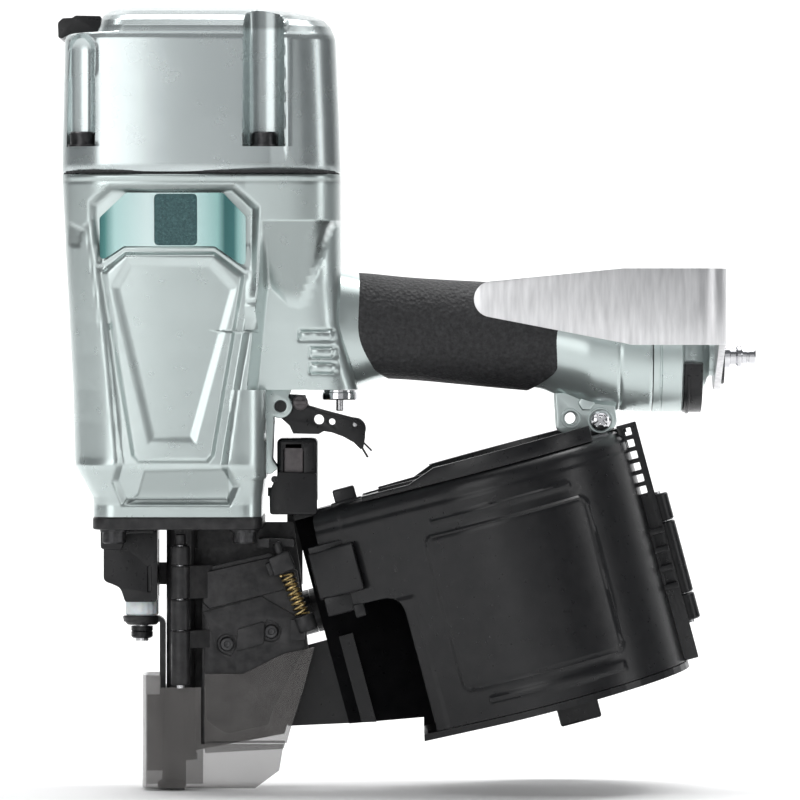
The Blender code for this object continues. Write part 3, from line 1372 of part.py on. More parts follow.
def leaned(points):
    """Points of the upright side view, in the magazine's frame."""
    lean = LEAN.inverted()
    spots = [lean @ Vector((x, 0, z)) for x, z in points]
    return [(spot.x, spot.z) for spot in spots]


def make_base(frame):
    """The magazine's fixed half: floor, far wall, far deck, arm, ear and post."""
    floor_low = DRUM_FLOOR - FLOOR_THICK
    plan = side_outline(-DRUM_LIP, -1, MOUTH_X) + side_outline(-DRUM_LIP, 1, MOUTH_X)[:0:-1]
    base = plate("magazine_base", "XY", plan, (floor_low, DRUM_FLOOR))
    join(base, drum_wall("far_wall", 1, MOUTH_X, DRUM_FLOOR - 1, DRUM_TOP - 1))
    deck = half_plan(1, MOUTH_X, -DRUM_LIP)
    join(base, plate("far_deck", "XY", deck, (DRUM_TOP - DECK_THICK, DRUM_TOP)))
    join(base, rim("far_rim", 1))
    join(base, box("base_arm", BASE_ARM_X, BASE_ARM_Y, BASE_ARM_Z))
    join(base, rod("post", (DRUM_X, 0, DRUM_FLOOR - 1), (DRUM_X, 0, POST_HIGH), POST_R))
    join(base, box("foot_tab", TAB_X, (1, 9), (floor_low - TAB_DROP, DRUM_FLOOR - 1), 1))
    levels = MAG_KNUCKLES
    rear = DRUM_X + DRUM_R
    for i, (low, high) in enumerate(((levels[0], levels[1] - GAP), (levels[2] + GAP, levels[3]))):
        lug_z = (low + LUG_INSET, high - LUG_INSET)
        lug_y = (LUG_INSET, MAG_KNUCKLE_R - LUG_INSET)
        join(base, box(f"base_lug_{i}", (rear - 4, MAG_HINGE_X), lug_y, lug_z))
        join(base, mag_knuckle(f"base_knuckle_{i}", low, high))
    ear = plate("ear", "XZ", ear_outline(), (-EAR_HALF, EAR_HALF))
    join(base, ear)
    ends = [x for x, _ in leaned((BRACKET_PIN, BRACKET_SCREW))]
    join(base, box("ear_foot", (ends[0] - 4, ends[1] + 4), (0.4, EAR_HALF), (DRUM_TOP - 2, DRUM_TOP + 2)))
    for i, place in enumerate(leaned((BRACKET_PIN, BRACKET_SCREW))):
        cut(base, cross_rod(f"ear_hole_{i}", place, (-9, 9), BRACKET_HOLE_R, 16))
    cut(base, plate("front_relief", "XZ", leaned(BASE_RELIEF), (-DRUM_R, DRUM_R)))
    bore = MAG_PIN_R + GAP
    cut(base, rod("base_hinge_bore", (MAG_HINGE_X, 0, 5), (MAG_HINGE_X, 0, 90), bore, sides=16))
    finish(base, BLACK)
    carry(frame, base, frame=LEAN)


def make_cover():
    """The magazine's hinged half: near wall with a notch at its lower front, and near deck."""
    low = DRUM_FLOOR + GAP
    front = COVER_FRONT_X
    cover = drum_wall("magazine_cover", -1, front, low, DRUM_TOP - 1)
    deck = half_plan(-1, front, -DRUM_LIP)
    join(cover, plate("near_deck", "XY", deck, (DRUM_TOP - DECK_THICK, DRUM_TOP)))
    join(cover, rim("near_rim", -1))
    cut(cover, box("notch", (0, NOTCH_X), (-90, 5), (-20, NOTCH_Z), 8))
    rear = DRUM_X + DRUM_R
    cut(cover, box("hinge_relief", (rear - 2.5, 300), (-4, 5), (-20, DRUM_TOP + 20)))
    levels = MAG_KNUCKLES
    join(cover, box("spine", SPINE_X, SPINE_Y, (low, DRUM_TOP)))
    low, high = levels[1] + GAP, levels[2] - GAP
    lug_z = (low + LUG_INSET, high - LUG_INSET)
    join(cover, box("cover_lug", (SPINE_X[1] - 4, MAG_HINGE_X), (SPINE_Y[1] - 1, -1), lug_z))
    join(cover, mag_knuckle("cover_knuckle", low, high))
    bore = MAG_PIN_R + SLIP
    cut(cover, rod("cover_hinge_bore", (MAG_HINGE_X, 0, 5), (MAG_HINGE_X, 0, 90), bore, sides=20))
    finish(cover, BLACK)
    carry(pivot("magazine_cover_axis", LEAN @ Vector((MAG_HINGE_X * MM, 0, 0))), cover, frame=LEAN)


def make_magazine_small_parts(frame):
    """The hinge pin, tray, latch and bracket screw."""
    low, high = MAG_KNUCKLES[0] - 1.5, MAG_KNUCKLES[-1] + 1.5
    pin = rod("magazine_hinge_pin", (MAG_HINGE_X, 0, low), (MAG_HINGE_X, 0, high), MAG_PIN_R, sides=20)
    carry(frame, finish(pin, STEEL), frame=LEAN)
    bottom = DRUM_FLOOR + GAP
    bore = POST_R + SLIP
    profile = [(HUB_R, HUB_HIGH), (HUB_R, TRAY_THICK), (TRAY_R, TRAY_THICK), (TRAY_R, 0)]
    profile += [(bore, 0), (bore, HUB_HIGH)]
    tray = turned("nail_tray", (DRUM_X, 0, bottom), (0, 0, 1), profile, 40)
    place = LEAN @ Vector((DRUM_X * MM, 0, bottom * MM))
    carry(pivot("nail_tray_axis", place), finish(tray, GREY), frame=LEAN)
    make_magazine_latch()
    head = [(0, 2.4), (3.4, 2.0), (4.6, 0.8), (4.6, 0), (3.0, 0), (3.0, -21), (0, -21)]
    screw = turned("bracket_screw", xz(BRACKET_SCREW, -BRACKET_OUTER - GAP), (0, -1, 0), head, 20)
    finish(screw, STEEL)


def cover_side(x):
    """The near wall's outer surface on the flat run behind the mouth."""
    (x0, y0), (x1, y1) = side_outline(0, -1, MOUTH_X)[-2:]
    return y0 + (y1 - y0) * (x - x0) / (x1 - x0)


def make_magazine_latch():
    """The latch plate on the cover's front, hinged at its rear edge."""
    front, rear = MAG_LATCH_X
    near, far = cover_side(rear) - MAG_LATCH_THICK, cover_side(rear) - GAP
    outline = [
        (front, cover_side(front) - GAP - MAG_LATCH_THICK),
        (rear, near),
        (rear, far),
        (front, cover_side(front) - GAP),
    ]
    latch = plate("magazine_latch", "XY", outline, MAG_LATCH_Z)
    soften(latch, 1.2)
    finish(latch, BLACK)
    middle = (near + far) / 2
    place = LEAN @ (Vector((rear, middle, MAG_LATCH_Z[0])) * MM)
    carry(pivot("magazine_latch_axis", place), latch, frame=LEAN)


# ---------------------------------------------------------------- the tool

clear_scene()
PARTS = new_collection("pneumatic_nail_gun")
CUTTERS = new_collection("cutters")
CUTTERS.hide_render = True

PAINT = material("silver_paint", (0.45, 0.52, 0.51), 0.32, 0.75)
BLACK = material("black_plastic", (0.018, 0.018, 0.02), 0.42)
RUBBER = material("black_rubber", (0.022, 0.022, 0.024), 0.75)
BLACK_STEEL = material("black_steel", (0.03, 0.03, 0.033), 0.38, 0.7)
STEEL = material("steel", (0.55, 0.55, 0.56), 0.3, 1.0)
CHROME = material("chrome", (0.75, 0.75, 0.77), 0.12, 1.0)
ALUMINIUM = material("aluminium", (0.6, 0.61, 0.62), 0.35, 1.0)
RAW_ALUMINIUM = material("raw_aluminium", (0.62, 0.62, 0.63), 0.5, 1.0)
BRASS = material("gold_steel", (0.6, 0.45, 0.2), 0.3, 1.0)
NYLON = material("white_nylon", (0.78, 0.82, 0.84), 0.4)
GREY = material("grey_plastic", (0.12, 0.11, 0.12), 0.45)
SMOKE = material("smoked_plastic", (0.16, 0.14, 0.13), 0.15, 0.0, 0.55)

make_housing()
make_cap()
make_gasket()
make_bolts()
make_deflector()
make_liner()
make_piston()
make_bumper()
make_head_valve()
make_grip()
make_end_cap()
make_trim()
make_plug()
make_hook()
make_trigger()
make_trigger_arm()
make_selector()
make_valve()
make_nose()
make_guard()
make_depth_cage()
make_contact_arm()
make_foot()
make_dial()
make_door()
make_hinge_pin()
make_door_latch()
make_feeder()
make_feed_piston()
MAGAZINE = pivot("magazine_frame", (0, 0, 0))
MAGAZINE.matrix_world = LEAN
bpy.context.view_layer.update()
make_base(MAGAZINE)
make_cover()
make_magazine_small_parts(MAGAZINE)
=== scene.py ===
"""The looks of the coil nailer: detailed skins, materials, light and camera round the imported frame."""

import math

import bmesh
import bpy
import numpy as np
from mathutils import Matrix, Vector


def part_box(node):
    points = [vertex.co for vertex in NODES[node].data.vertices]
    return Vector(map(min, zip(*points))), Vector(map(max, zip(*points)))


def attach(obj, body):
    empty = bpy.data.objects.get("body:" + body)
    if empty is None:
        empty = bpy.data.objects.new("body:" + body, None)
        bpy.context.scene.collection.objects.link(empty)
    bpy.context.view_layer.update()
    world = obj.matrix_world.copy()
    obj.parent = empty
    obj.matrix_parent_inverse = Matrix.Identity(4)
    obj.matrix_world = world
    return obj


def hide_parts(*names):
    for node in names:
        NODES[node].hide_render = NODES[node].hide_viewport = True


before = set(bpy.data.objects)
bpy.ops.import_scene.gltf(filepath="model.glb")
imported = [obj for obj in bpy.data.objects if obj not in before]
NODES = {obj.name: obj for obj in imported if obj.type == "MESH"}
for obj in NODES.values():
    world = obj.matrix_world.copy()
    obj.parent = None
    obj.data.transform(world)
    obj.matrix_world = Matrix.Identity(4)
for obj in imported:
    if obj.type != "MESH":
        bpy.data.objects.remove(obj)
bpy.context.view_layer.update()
MM = 0.001


def cad(node):
    """A CAD node's low and high corners, in millimetres."""
    low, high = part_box(node)
    return np.array(low) / MM, np.array(high) / MM


# ---------------------------------------------------------------- materials

NOISE_SPAN = (0.3, 0.7)  # where most of a noise's values lie
SHADE = 0.22  # how dark the painted shade is at its darkest, as a share of the colour

def surface(
    name, dark, light, rough, metal=0.0, patch=60.0, bumps=(), coat=None, sockets=(), grain=None, bands=(),
):
    """A Principled material, mottled between two colours and uneven in gloss, with layers of relief.

    Bands of colour along X can take the place of the two colours, and a grain stretches the pattern.
    A mesh's "shade" values darken it with painted shade.
    """
    made = bpy.data.materials.new(name)
    made.use_nodes = True
    nodes, links = made.node_tree.nodes, made.node_tree.links
    shader = nodes["Principled BSDF"]
    place = nodes.new("ShaderNodeTexCoord").outputs["Object"]
    if grain:
        brushed = nodes.new("ShaderNodeMapping")
        brushed.inputs["Scale"].default_value = grain
        links.new(place, brushed.inputs["Vector"])
        place = brushed.outputs[0]
    ramp = nodes.new("ShaderNodeValToRGB")
    ramp.color_ramp.elements[0].position, ramp.color_ramp.elements[1].position = NOISE_SPAN
    ramp.color_ramp.elements[0].color = (*dark, 1)
    ramp.color_ramp.elements[1].color = (*light, 1)
    if bands:
        split, across = nodes.new("ShaderNodeSeparateXYZ"), nodes.new("ShaderNodeMapRange")
        across.inputs["From Min"].default_value, across.inputs["From Max"].default_value = BAND_SPAN
        links.new(place, split.inputs[0])
        links.new(split.outputs["X"], across.inputs["Value"])
        ramp.color_ramp.elements.remove(ramp.color_ramp.elements[1])
        ramp.color_ramp.elements[0].position, ramp.color_ramp.elements[0].color = 0.0, (*bands[0][1], 1)
        for position, colour in bands[1:]:
            ramp.color_ramp.elements.new(position).color = (*colour, 1)
        links.new(across.outputs[0], ramp.inputs[0])
    else:
        links.new(noise(nodes, links, place, patch, 6), ramp.inputs[0])
    # Painted shade: the mesh's shade values mix the colour towards a darker copy of it.
    shade = nodes.new("ShaderNodeMix")
    shade.data_type = "RGBA"
    shadow = nodes.new("ShaderNodeAttribute")
    shadow.attribute_name = "shade"
    links.new(shadow.outputs["Fac"], shade.inputs["Factor"])
    links.new(ramp.outputs[0], shade.inputs["A"])
    shade.inputs["B"].default_value = (*(SHADE * c for c in dark), 1)
    links.new(shade.outputs["Result"], shader.inputs["Base Color"])
    gloss = nodes.new("ShaderNodeMapRange")
    gloss.inputs["From Min"].default_value, gloss.inputs["From Max"].default_value = NOISE_SPAN
    gloss.inputs["To Min"].default_value, gloss.inputs["To Max"].default_value = rough
    links.new(noise(nodes, links, place, patch * 3.1, 4), gloss.inputs["Value"])
    links.new(gloss.outputs[0], shader.inputs["Roughness"])
    shader.inputs["Metallic"].default_value = metal
    if coat:
        shader.inputs["Coat Weight"].default_value, shader.inputs["Coat Roughness"].default_value = coat
    for socket, value in sockets:
        shader.inputs[socket].default_value = value
    normal = None
    for kind, scale, distance, strength in bumps:
        bump = nodes.new("ShaderNodeBump")
        bump.inputs["Strength"].default_value = strength
        bump.inputs["Distance"].default_value = distance * MM
        if kind == "cells":
            height = cells(nodes, links, place, scale)
        else:
            height = noise(nodes, links, place, scale, 3)
        links.new(height, bump.inputs["Height"])
        if normal:
            links.new(normal, bump.inputs["Normal"])
        normal = bump.outputs["Normal"]
    if normal:
        links.new(normal, shader.inputs["Normal"])
    return made


def noise(nodes, links, place, scale, detail):
    """A noise pattern, scaled per metre."""
    texture = nodes.new("ShaderNodeTexNoise")
    texture.inputs["Scale"].default_value = scale
    texture.inputs["Detail"].default_value = detail
    links.new(place, texture.inputs["Vector"])
    return texture.outputs["Fac"]


def cells(nodes, links, place, scale):
    """A pebbled pattern, scaled per metre."""
    texture = nodes.new("ShaderNodeTexVoronoi")
    texture.feature = "SMOOTH_F1"
    texture.inputs["Scale"].default_value = scale
    texture.inputs["Smoothness"].default_value = 0.35
    links.new(place, texture.inputs["Vector"])
    return texture.outputs["Distance"]


BAND_SPAN = (-0.0355, 0.0293)  # the film's front and rear ends, in metres
PAINT = surface(
    "silver_green_paint", (0.53, 0.60, 0.59), (0.56, 0.63, 0.62), (0.27, 0.30), 0.78, 45,
    [("noise", 6000, 0.012, 0.16)], (0.35, 0.14),
)
PAINT_CAP = surface(
    "silver_green_paint_cap", (0.55, 0.61, 0.61), (0.58, 0.64, 0.64), (0.25, 0.28), 0.8, 35,
    [("noise", 6000, 0.012, 0.16)], (0.4, 0.12),
)
# The film's bands are darker towards both ends: painted shade where the film meets the frame.
MIRROR = surface(
    "teal_label_film", (0.66, 0.86, 0.85), (0.74, 0.92, 0.91), (0.14, 0.20), 0.9, 30,
    [("noise", 400, 0.02, 0.1)], (0.6, 0.05),
    bands=[
        (0.0, (0.03, 0.12, 0.12)), (0.05, (0.08, 0.26, 0.25)), (0.12, (0.52, 0.78, 0.76)),
        (0.34, (0.78, 0.95, 0.94)),
        (0.68, (0.60, 0.84, 0.82)), (0.82, (0.34, 0.60, 0.58)), (0.87, (0.04, 0.15, 0.15)),
        (0.93, (0.05, 0.18, 0.18)),
        (0.96, (0.30, 0.55, 0.53)), (1.0, (0.50, 0.72, 0.70)),
    ],
)
MIRROR_DARK = surface(
    "dark_label_band", (0.015, 0.06, 0.065), (0.05, 0.13, 0.135), (0.12, 0.3), 0.5, 900,
    [("noise", 1500, 0.03, 0.4)], (0.6, 0.06),
)
GRIP = surface(
    "grip_rubber", (0.010, 0.010, 0.011), (0.030, 0.030, 0.032), (0.50, 0.72), 0.0, 500,
    [("cells", 620, 0.5, 0.85), ("noise", 1700, 0.2, 0.6)], sockets=[("Specular IOR Level", 0.42)],
)
PLASTIC = surface(
    "black_nylon", (0.006, 0.006, 0.007), (0.012, 0.012, 0.013), (0.26, 0.36), 0.0, 140,
    [("noise", 2600, 0.05, 0.3)], sockets=[("Specular IOR Level", 0.32)],
)
PLASTIC_SATIN = surface(
    "black_nylon_satin", (0.006, 0.006, 0.007), (0.011, 0.011, 0.012), (0.27, 0.34), 0.0, 140,
    [("noise", 2200, 0.05, 0.3)], sockets=[("Specular IOR Level", 0.34)],
)
LABEL = surface(
    "smooth_black_panel", (0.006, 0.006, 0.007), (0.010, 0.010, 0.011), (0.22, 0.27), 0.0, 220,
    [("cells", 900, 0.04, 0.16)], sockets=[("Specular IOR Level", 0.42)],
)
STEEL_BLACK = surface(
    "phosphated_steel", (0.010, 0.010, 0.011), (0.032, 0.031, 0.032), (0.34, 0.55), 0.35, 220,
    [("noise", 700, 0.12, 0.45), ("noise", 3500, 0.05, 0.4)],
)
BOLT_STEEL = surface(
    "black_bolt_steel", (0.03, 0.03, 0.032), (0.07, 0.07, 0.072), (0.30, 0.45), 0.8, 400,
    [("noise", 2500, 0.04, 0.4)],
)
STEEL = surface(
    "bright_steel", (0.42, 0.42, 0.43), (0.62, 0.62, 0.63), (0.22, 0.36), 1.0, 300,
    [("noise", 2500, 0.03, 0.35)],
)
CHROME = surface(
    "chrome_plate", (0.62, 0.62, 0.64), (0.78, 0.78, 0.80), (0.08, 0.16), 1.0, 200,
    [("noise", 1500, 0.02, 0.2)],
)
ALUMINIUM = surface(
    "turned_aluminium", (0.50, 0.51, 0.52), (0.64, 0.65, 0.66), (0.28, 0.40), 1.0, 200,
    [("noise", 2500, 0.03, 0.35)],
)
RAW = surface(
    "raw_aluminium_strip", (0.60, 0.60, 0.61), (0.80, 0.80, 0.81), (0.34, 0.44), 0.88, 420,
    [("noise", 1400, 0.04, 0.3)], grain=(1.0, 1.0, 0.14),
)
GOLD = surface(
    "gold_passivated_steel", (0.38, 0.27, 0.11), (0.66, 0.52, 0.26), (0.22, 0.36), 1.0, 600,
    [("noise", 2500, 0.03, 0.3)],
)
NYLON = surface(
    "white_nylon", (0.70, 0.76, 0.78), (0.84, 0.88, 0.89), (0.30, 0.42), 0.0, 150,
    [("noise", 1800, 0.04, 0.3)], sockets=[("Subsurface Weight", 0.15), ("Subsurface Scale", 0.003)],
)
GREY = surface(
    "grey_plastic", (0.075, 0.065, 0.068), (0.12, 0.105, 0.108), (0.38, 0.5), 0.0, 300,
    [("noise", 2000, 0.06, 0.4)],
)
SMOKE = surface(
    "smoked_clear_plastic", (0.10, 0.094, 0.09), (0.16, 0.15, 0.145), (0.12, 0.24), 0.0, 120,
    [("noise", 500, 0.05, 0.25)], sockets=[("Alpha", 0.5)],
)


# ---------------------------------------------------------------- making pieces


def place(mesh_object, look, body, *nodes, slot=None):
    """Gives a new piece its look and body, and hides the CAD nodes that it stands for; slot is not used."""
    if look.name not in mesh_object.data.materials:
        mesh_object.data.materials.append(look)
    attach(mesh_object, body)
    if nodes:
        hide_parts(*nodes)
    return mesh_object


def from_arrays(name, points, faces, sharp=30):
    """A smooth-shaded mesh from points in millimetres."""
    mesh = bpy.data.meshes.new(name)
    mesh.from_pydata((np.asarray(points, float) * MM).tolist(), [], [list(map(int, f)) for f in faces])
    mesh.update()
    made = bpy.data.objects.new(name, mesh)
    bpy.context.scene.collection.objects.link(made)
    mesh.shade_smooth()
    mesh.set_sharp_from_angle(angle=math.radians(sharp))
    return made


def skin(name, rings, sharp=30):
    """A skin over rings of equally many points, with its ends closed."""
    rings = np.asarray(rings, float)
    rows, count = rings.shape[:2]
    here = np.arange(rows - 1)[:, None] * count + np.arange(count)[None, :]
    there = np.arange(rows - 1)[:, None] * count + (np.arange(count)[None, :] + 1) % count
    quads = np.stack([here, there, there + count, here + count], -1).reshape(-1, 4).tolist()
    quads.append(list(range(count))[::-1])
    quads.append([(rows - 1) * count + i for i in range(count)])
    return from_arrays(name, rings.reshape(-1, 3), quads, sharp)


def facing_out(made):
    """Turns all faces of a closed piece outwards."""
    shape = bmesh.new()
    shape.from_mesh(made.data)
    bmesh.ops.recalc_face_normals(shape, faces=shape.faces)
    shape.to_mesh(made.data)
    shape.free()
    return made


def bevelled(made, width, segments=3, limit=30):
    """Rounds an object's sharp edges for good."""
    step = made.modifiers.new("Edges", "BEVEL")
    step.width, step.segments = width * MM, segments
    step.limit_method, step.angle_limit = "ANGLE", math.radians(limit)
    apply_modifiers(made)
    made.data.shade_smooth()
    made.data.set_sharp_from_angle(angle=math.radians(38))
    return made


def apply_modifiers(made):
    """Puts the result of the modifiers into the mesh."""
    bpy.context.view_layer.update()
    graph = bpy.context.evaluated_depsgraph_get()
    mesh = bpy.data.meshes.new_from_object(made.evaluated_get(graph))
    made.modifiers.clear()
    made.data = mesh
    return made


def subtract(made, *others):
    """Cuts other objects from a piece and removes them."""
    return boolean(made, others, "DIFFERENCE")


def add(made, *others):
    """Joins other objects to a piece and removes them."""
    return boolean(made, others, "UNION")


def boolean(made, others, operation):
    """One Boolean after another, applied."""
    for other in others:
        step = made.modifiers.new("Boolean", "BOOLEAN")
        step.operation, step.solver, step.object = operation, "EXACT", other
    apply_modifiers(made)
    for other in others:
        bpy.data.objects.remove(other)
    return made


AXES = {"XY": (0, 1, 2), "XZ": (0, 2, 1), "YZ": (1, 2, 0)}


def slab(name, plane, outline, span):
    """A flat outline in a plane of the row frame, thick between two values of the third axis."""
    first, second, third = AXES[plane]
    count = len(outline)
    points = np.zeros((2 * count, 3))
    points[:, first] = [p[0] for p in outline] * 2
    points[:, second] = [p[1] for p in outline] * 2
    points[:count, third], points[count:, third] = span
    faces = [[i, (i + 1) % count, count + (i + 1) % count, count + i] for i in range(count)]
    faces += [list(range(count))[::-1], list(range(count, 2 * count))]
    return facing_out(from_arrays(name, points, faces))


def arc(centre, radius, start, end, steps=8):
    """Points on an arc, from one angle in degrees to another."""
    turns = np.radians(np.linspace(start, end, steps + 1))
    return [(centre[0] + radius * math.cos(a), centre[1] + radius * math.sin(a)) for a in turns]


def rounded(outline, radius, steps=5):
    """An outline with its corners rounded; the radius is one number or one for each corner."""
    count = len(outline)
    radii = radius if isinstance(radius, (list, tuple)) else [radius] * count
    points = []
    for i in range(count):
        corner = np.array(outline[i], float)
        before, after = np.array(outline[i - 1]) - corner, np.array(outline[(i + 1) % count]) - corner
        near, far = np.linalg.norm(before), np.linalg.norm(after)
        before, after = before / near, after / far
        half = math.acos(float(np.clip(before @ after, -1, 1))) / 2
        if radii[i] <= 0 or half > math.radians(88):
            points.append(tuple(corner))
            continue
        reach = min(radii[i] / math.tan(half), near * 0.48, far * 0.48)
        for t in np.linspace(0, 1, steps + 1):
            points.append(tuple(corner + before * reach * (1 - t) ** 2 + after * reach * t**2))
    return points


def box(name, x, y, z, soft=0.0):
    """A box between two values along each axis, its edges rounded."""
    made = slab(name, "XY", [(x[0], y[0]), (x[1], y[0]), (x[1], y[1]), (x[0], y[1])], z)
    return bevelled(made, soft) if soft else made


def turned(name, base, direction, profile, sides=64, sharp=35):
    """A profile of (radius, height) turned about an axis: a closed ring, or a solid if it meets the axis."""
    turn = np.array(Vector(direction).to_track_quat("Z", "Y").to_matrix())
    angles = np.linspace(0, 2 * math.pi, sides, endpoint=False)
    rings = [[[r * math.cos(a), r * math.sin(a), h] for a in angles] for r, h in profile]
    points = np.asarray(rings).reshape(-1, 3) @ turn.T + np.asarray(base, float)
    rows = len(profile)
    faces = []
    last = rows if profile[0][0] > 0 and profile[-1][0] > 0 else rows - 1
    for r in range(last):
        s = (r + 1) % rows
        for i in range(sides):
            j = (i + 1) % sides
            faces.append([r * sides + i, r * sides + j, s * sides + j, s * sides + i])
    made = from_arrays(name, points, faces, sharp)
    shape = bmesh.new()
    shape.from_mesh(made.data)
    bmesh.ops.remove_doubles(shape, verts=shape.verts, dist=1e-7)
    bmesh.ops.dissolve_degenerate(shape, edges=shape.edges, dist=1e-8)
    bmesh.ops.recalc_face_normals(shape, faces=shape.faces)
    shape.to_mesh(made.data)
    shape.free()
    made.data.shade_smooth()
    made.data.set_sharp_from_angle(angle=math.radians(sharp))
    return made


def rod(name, start, end, radius, sides=48):
    """A plain round bar between two points, for building with."""
    length = (Vector(end) - Vector(start)).length
    return turned(
        name, start, Vector(end) - Vector(start), [(0, length), (radius, length), (radius, 0), (0, 0)],
        sides,
    )


def pipe(name, points, radius, sides=12):
    """A round wire along a path."""
    points = [Vector(p) for p in points]
    rings = []
    normal = (points[1] - points[0]).orthogonal().normalized()
    for i, point in enumerate(points):
        along = (points[min(i + 1, len(points) - 1)] - points[max(i - 1, 0)]).normalized()
        normal = (normal - along * normal.dot(along)).normalized()
        side = along.cross(normal)
        turns = [2 * math.pi * k / sides for k in range(sides)]
        rings.append([point + (normal * math.cos(a) + side * math.sin(a)) * radius for a in turns])
    return facing_out(skin(name, [[tuple(p) for p in ring] for ring in rings]))


def joined(name, pieces, sharp=35):
    """Several meshes put into one object."""
    shape = bmesh.new()
    for piece in pieces:
        shape.from_mesh(piece.data)
        bpy.data.objects.remove(piece)
    mesh = bpy.data.meshes.new(name)
    shape.to_mesh(mesh)
    shape.free()
    made = bpy.data.objects.new(name, mesh)
    bpy.context.scene.collection.objects.link(made)
    mesh.shade_smooth()
    mesh.set_sharp_from_angle(angle=math.radians(sharp))
    return made


# ---------------------------------------------------------------- sculpted skins


def smooth(t):
    """An eased step from 0 to 1."""
    t = np.clip(t, 0, 1)
    return t * t * (3 - 2 * t)


def inside(x, z, outline):
    """How far each point lies inside an outline in the side view, negative outside."""
    corners = np.asarray(outline, float)
    distance = np.full(x.shape, np.inf)
    within = np.zeros(x.shape, bool)
    for (x0, z0), (x1, z1) in zip(corners, np.roll(corners, -1, 0)):
        dx, dz = x1 - x0, z1 - z0
        t = np.clip(((x - x0) * dx + (z - z0) * dz) / (dx * dx + dz * dz), 0, 1)
        distance = np.minimum(distance, np.hypot(x - x0 - t * dx, z - z0 - t * dz))
        crosses = (z0 > z) != (z1 > z)
        at = x0 + (z - z0) * dx / (dz if dz else 1e-9)
        within ^= crosses & (x < at)
    return np.where(within, distance, -distance)


def ramp(x, z, outline, width):
    """1 well inside an outline, 0 outside it, with a straight chamfer of some width between."""
    return np.clip(inside(x, z, outline) / width, 0, 1)


def section(x0, x1, front_half, rear_half, front_r, rear_r, counts=(150, 30, 16, 12)):
    """Points of a rounded section, and how much each faces the near or far side. Near side first."""
    across, bend_f, bend_r, side = counts
    near_x = np.linspace(x0 + front_r, x1 - rear_r, across)
    t = (near_x - near_x[0]) / (near_x[-1] - near_x[0])
    near_y = -(front_half + (rear_half - front_half) * t)
    ring = [(near_x, near_y, np.ones(across))]
    a = np.linspace(-90, 0, bend_r + 2)[1:-1] * math.pi / 180
    ring.append((x1 - rear_r + rear_r * np.cos(a), -rear_half + rear_r + rear_r * np.sin(a), -np.sin(a)))
    y = np.linspace(-rear_half + rear_r, rear_half - rear_r, side)
    ring.append((np.full(side, x1), y, np.zeros(side)))
    ring.append((ring[1][0][::-1], -ring[1][1][::-1], ring[1][2][::-1]))
    ring.append((near_x[::-1], -near_y[::-1], np.ones(across)))
    a = np.linspace(90, 180, bend_f + 2)[1:-1] * math.pi / 180
    corner = (x0 + front_r + front_r * np.cos(a), front_half - front_r + front_r * np.sin(a), np.sin(a))
    ring.append(corner)
    y = np.linspace(front_half - front_r, -front_half + front_r, side)
    ring.append((np.full(side, x0), y, np.zeros(side)))
    ring.append((corner[0][::-1], -corner[1][::-1], corner[2][::-1]))
    return [np.concatenate(part) for part in zip(*ring)]


def along(z, table):
    """Values at a height, from rows of (height, values...)."""
    heights = [row[0] for row in table]
    return [float(np.interp(z, heights, [row[i] for row in table])) for i in range(1, len(table[0]))]


FRAME = [
    (-30.6, 270.3), (25.2, 270.5), (36.2, 260.7), (35.8, 228.7), (27.8, 181.1), (22.1, 146.0), (27.8, 136.7),
    (23.1, 127.9), (-25.4, 127.9), (-30.1, 138.8), (-27.8, 147.0), (-32.7, 199.7), (-39.4, 254.5),
    (-39.4, 262.8),
]
WINDOW = [
    (-34.5, 255.5), (-22.7, 266.5), (20.0, 266.5), (30.0, 256.1), (30.0, 233.3), (16.4, 242.9),
    (-23.9, 242.9),
    (-34.5, 235.9),
]
PANEL = [
    (-34.5, 231.8), (-23.7, 240.8), (16.4, 240.8), (30.0, 230.2), (16.4, 149.9), (13.3, 146.3),
    (-18.5, 146.3),
    (-21.3, 149.9),
]
INNER = [(-30.1, 225.1), (-22.7, 238.2), (15.4, 238.2), (27.3, 225.1), (8.3, 155.1), (-13.8, 155.1)]
TRAPEZOID = [(-15.6, 144.1), (22.1, 145.0), (23.1, 127.9), (-24.9, 127.9), (-18.7, 133.6)]
CREASE = [(-41.5, 252.4), (-34.2, 201.8), (-32.7, 198.7), (-39.4, 254.5)]
RIB = [(-48.7, 254.0), (-41.5, 250.4), (-43.5, 242.1), (-49.7, 243.1)]
VENTS = ((52.6, 69.6, 201.0, 206.1), (57.5, 69.9, 193.3, 198.7), (57.5, 69.9, 186.3, 191.7))
RECESS, CHAMFER = 3.0, 3.4
CROWN, CROWN_X = 4.2, -4.0
SEAM_Z, LEDGE_Z, FOOT_Z = 275.0, 179.4, 123.0
SHOULDER_Z = 254.5
BARREL = [  # height, front, rear, half width, front corner, rear corner
    (123.0, -38.25, 36.5, 37.5, 10, 10), (128.5, -38.25, 36.5, 37.5, 10, 10),
    (132.0, -38.6, 36.6, 38.4, 11, 11),
    (146.0, -46.6, 38.5, 43.4, 20, 16), (149.0, -47.0, 38.5, 43.5, 22, 16),
    (165.0, -47.3, 38.5, 43.9, 22, 16),
    (179.4, -47.7, 38.5, 44.5, 22, 16), (195.0, -48.4, 47.5, 45.3, 22, 17),
    (210.0, -49.1, 56.1, 46.3, 22, 18),
    (237.0, -50.4, 71.6, 48.5, 22, 20), (275.0, -52.0, 71.6, 52.0, 22, 22),
]
REAR = [
    (179.4, 79.5, 30.0, 14), (206.0, 72.4, 33.4, 16), (210.0, 71.6, 34.0, 16), (227.0, 71.6, 36.0, 18),
    (275.0, 71.6, 38.0, 20),
]


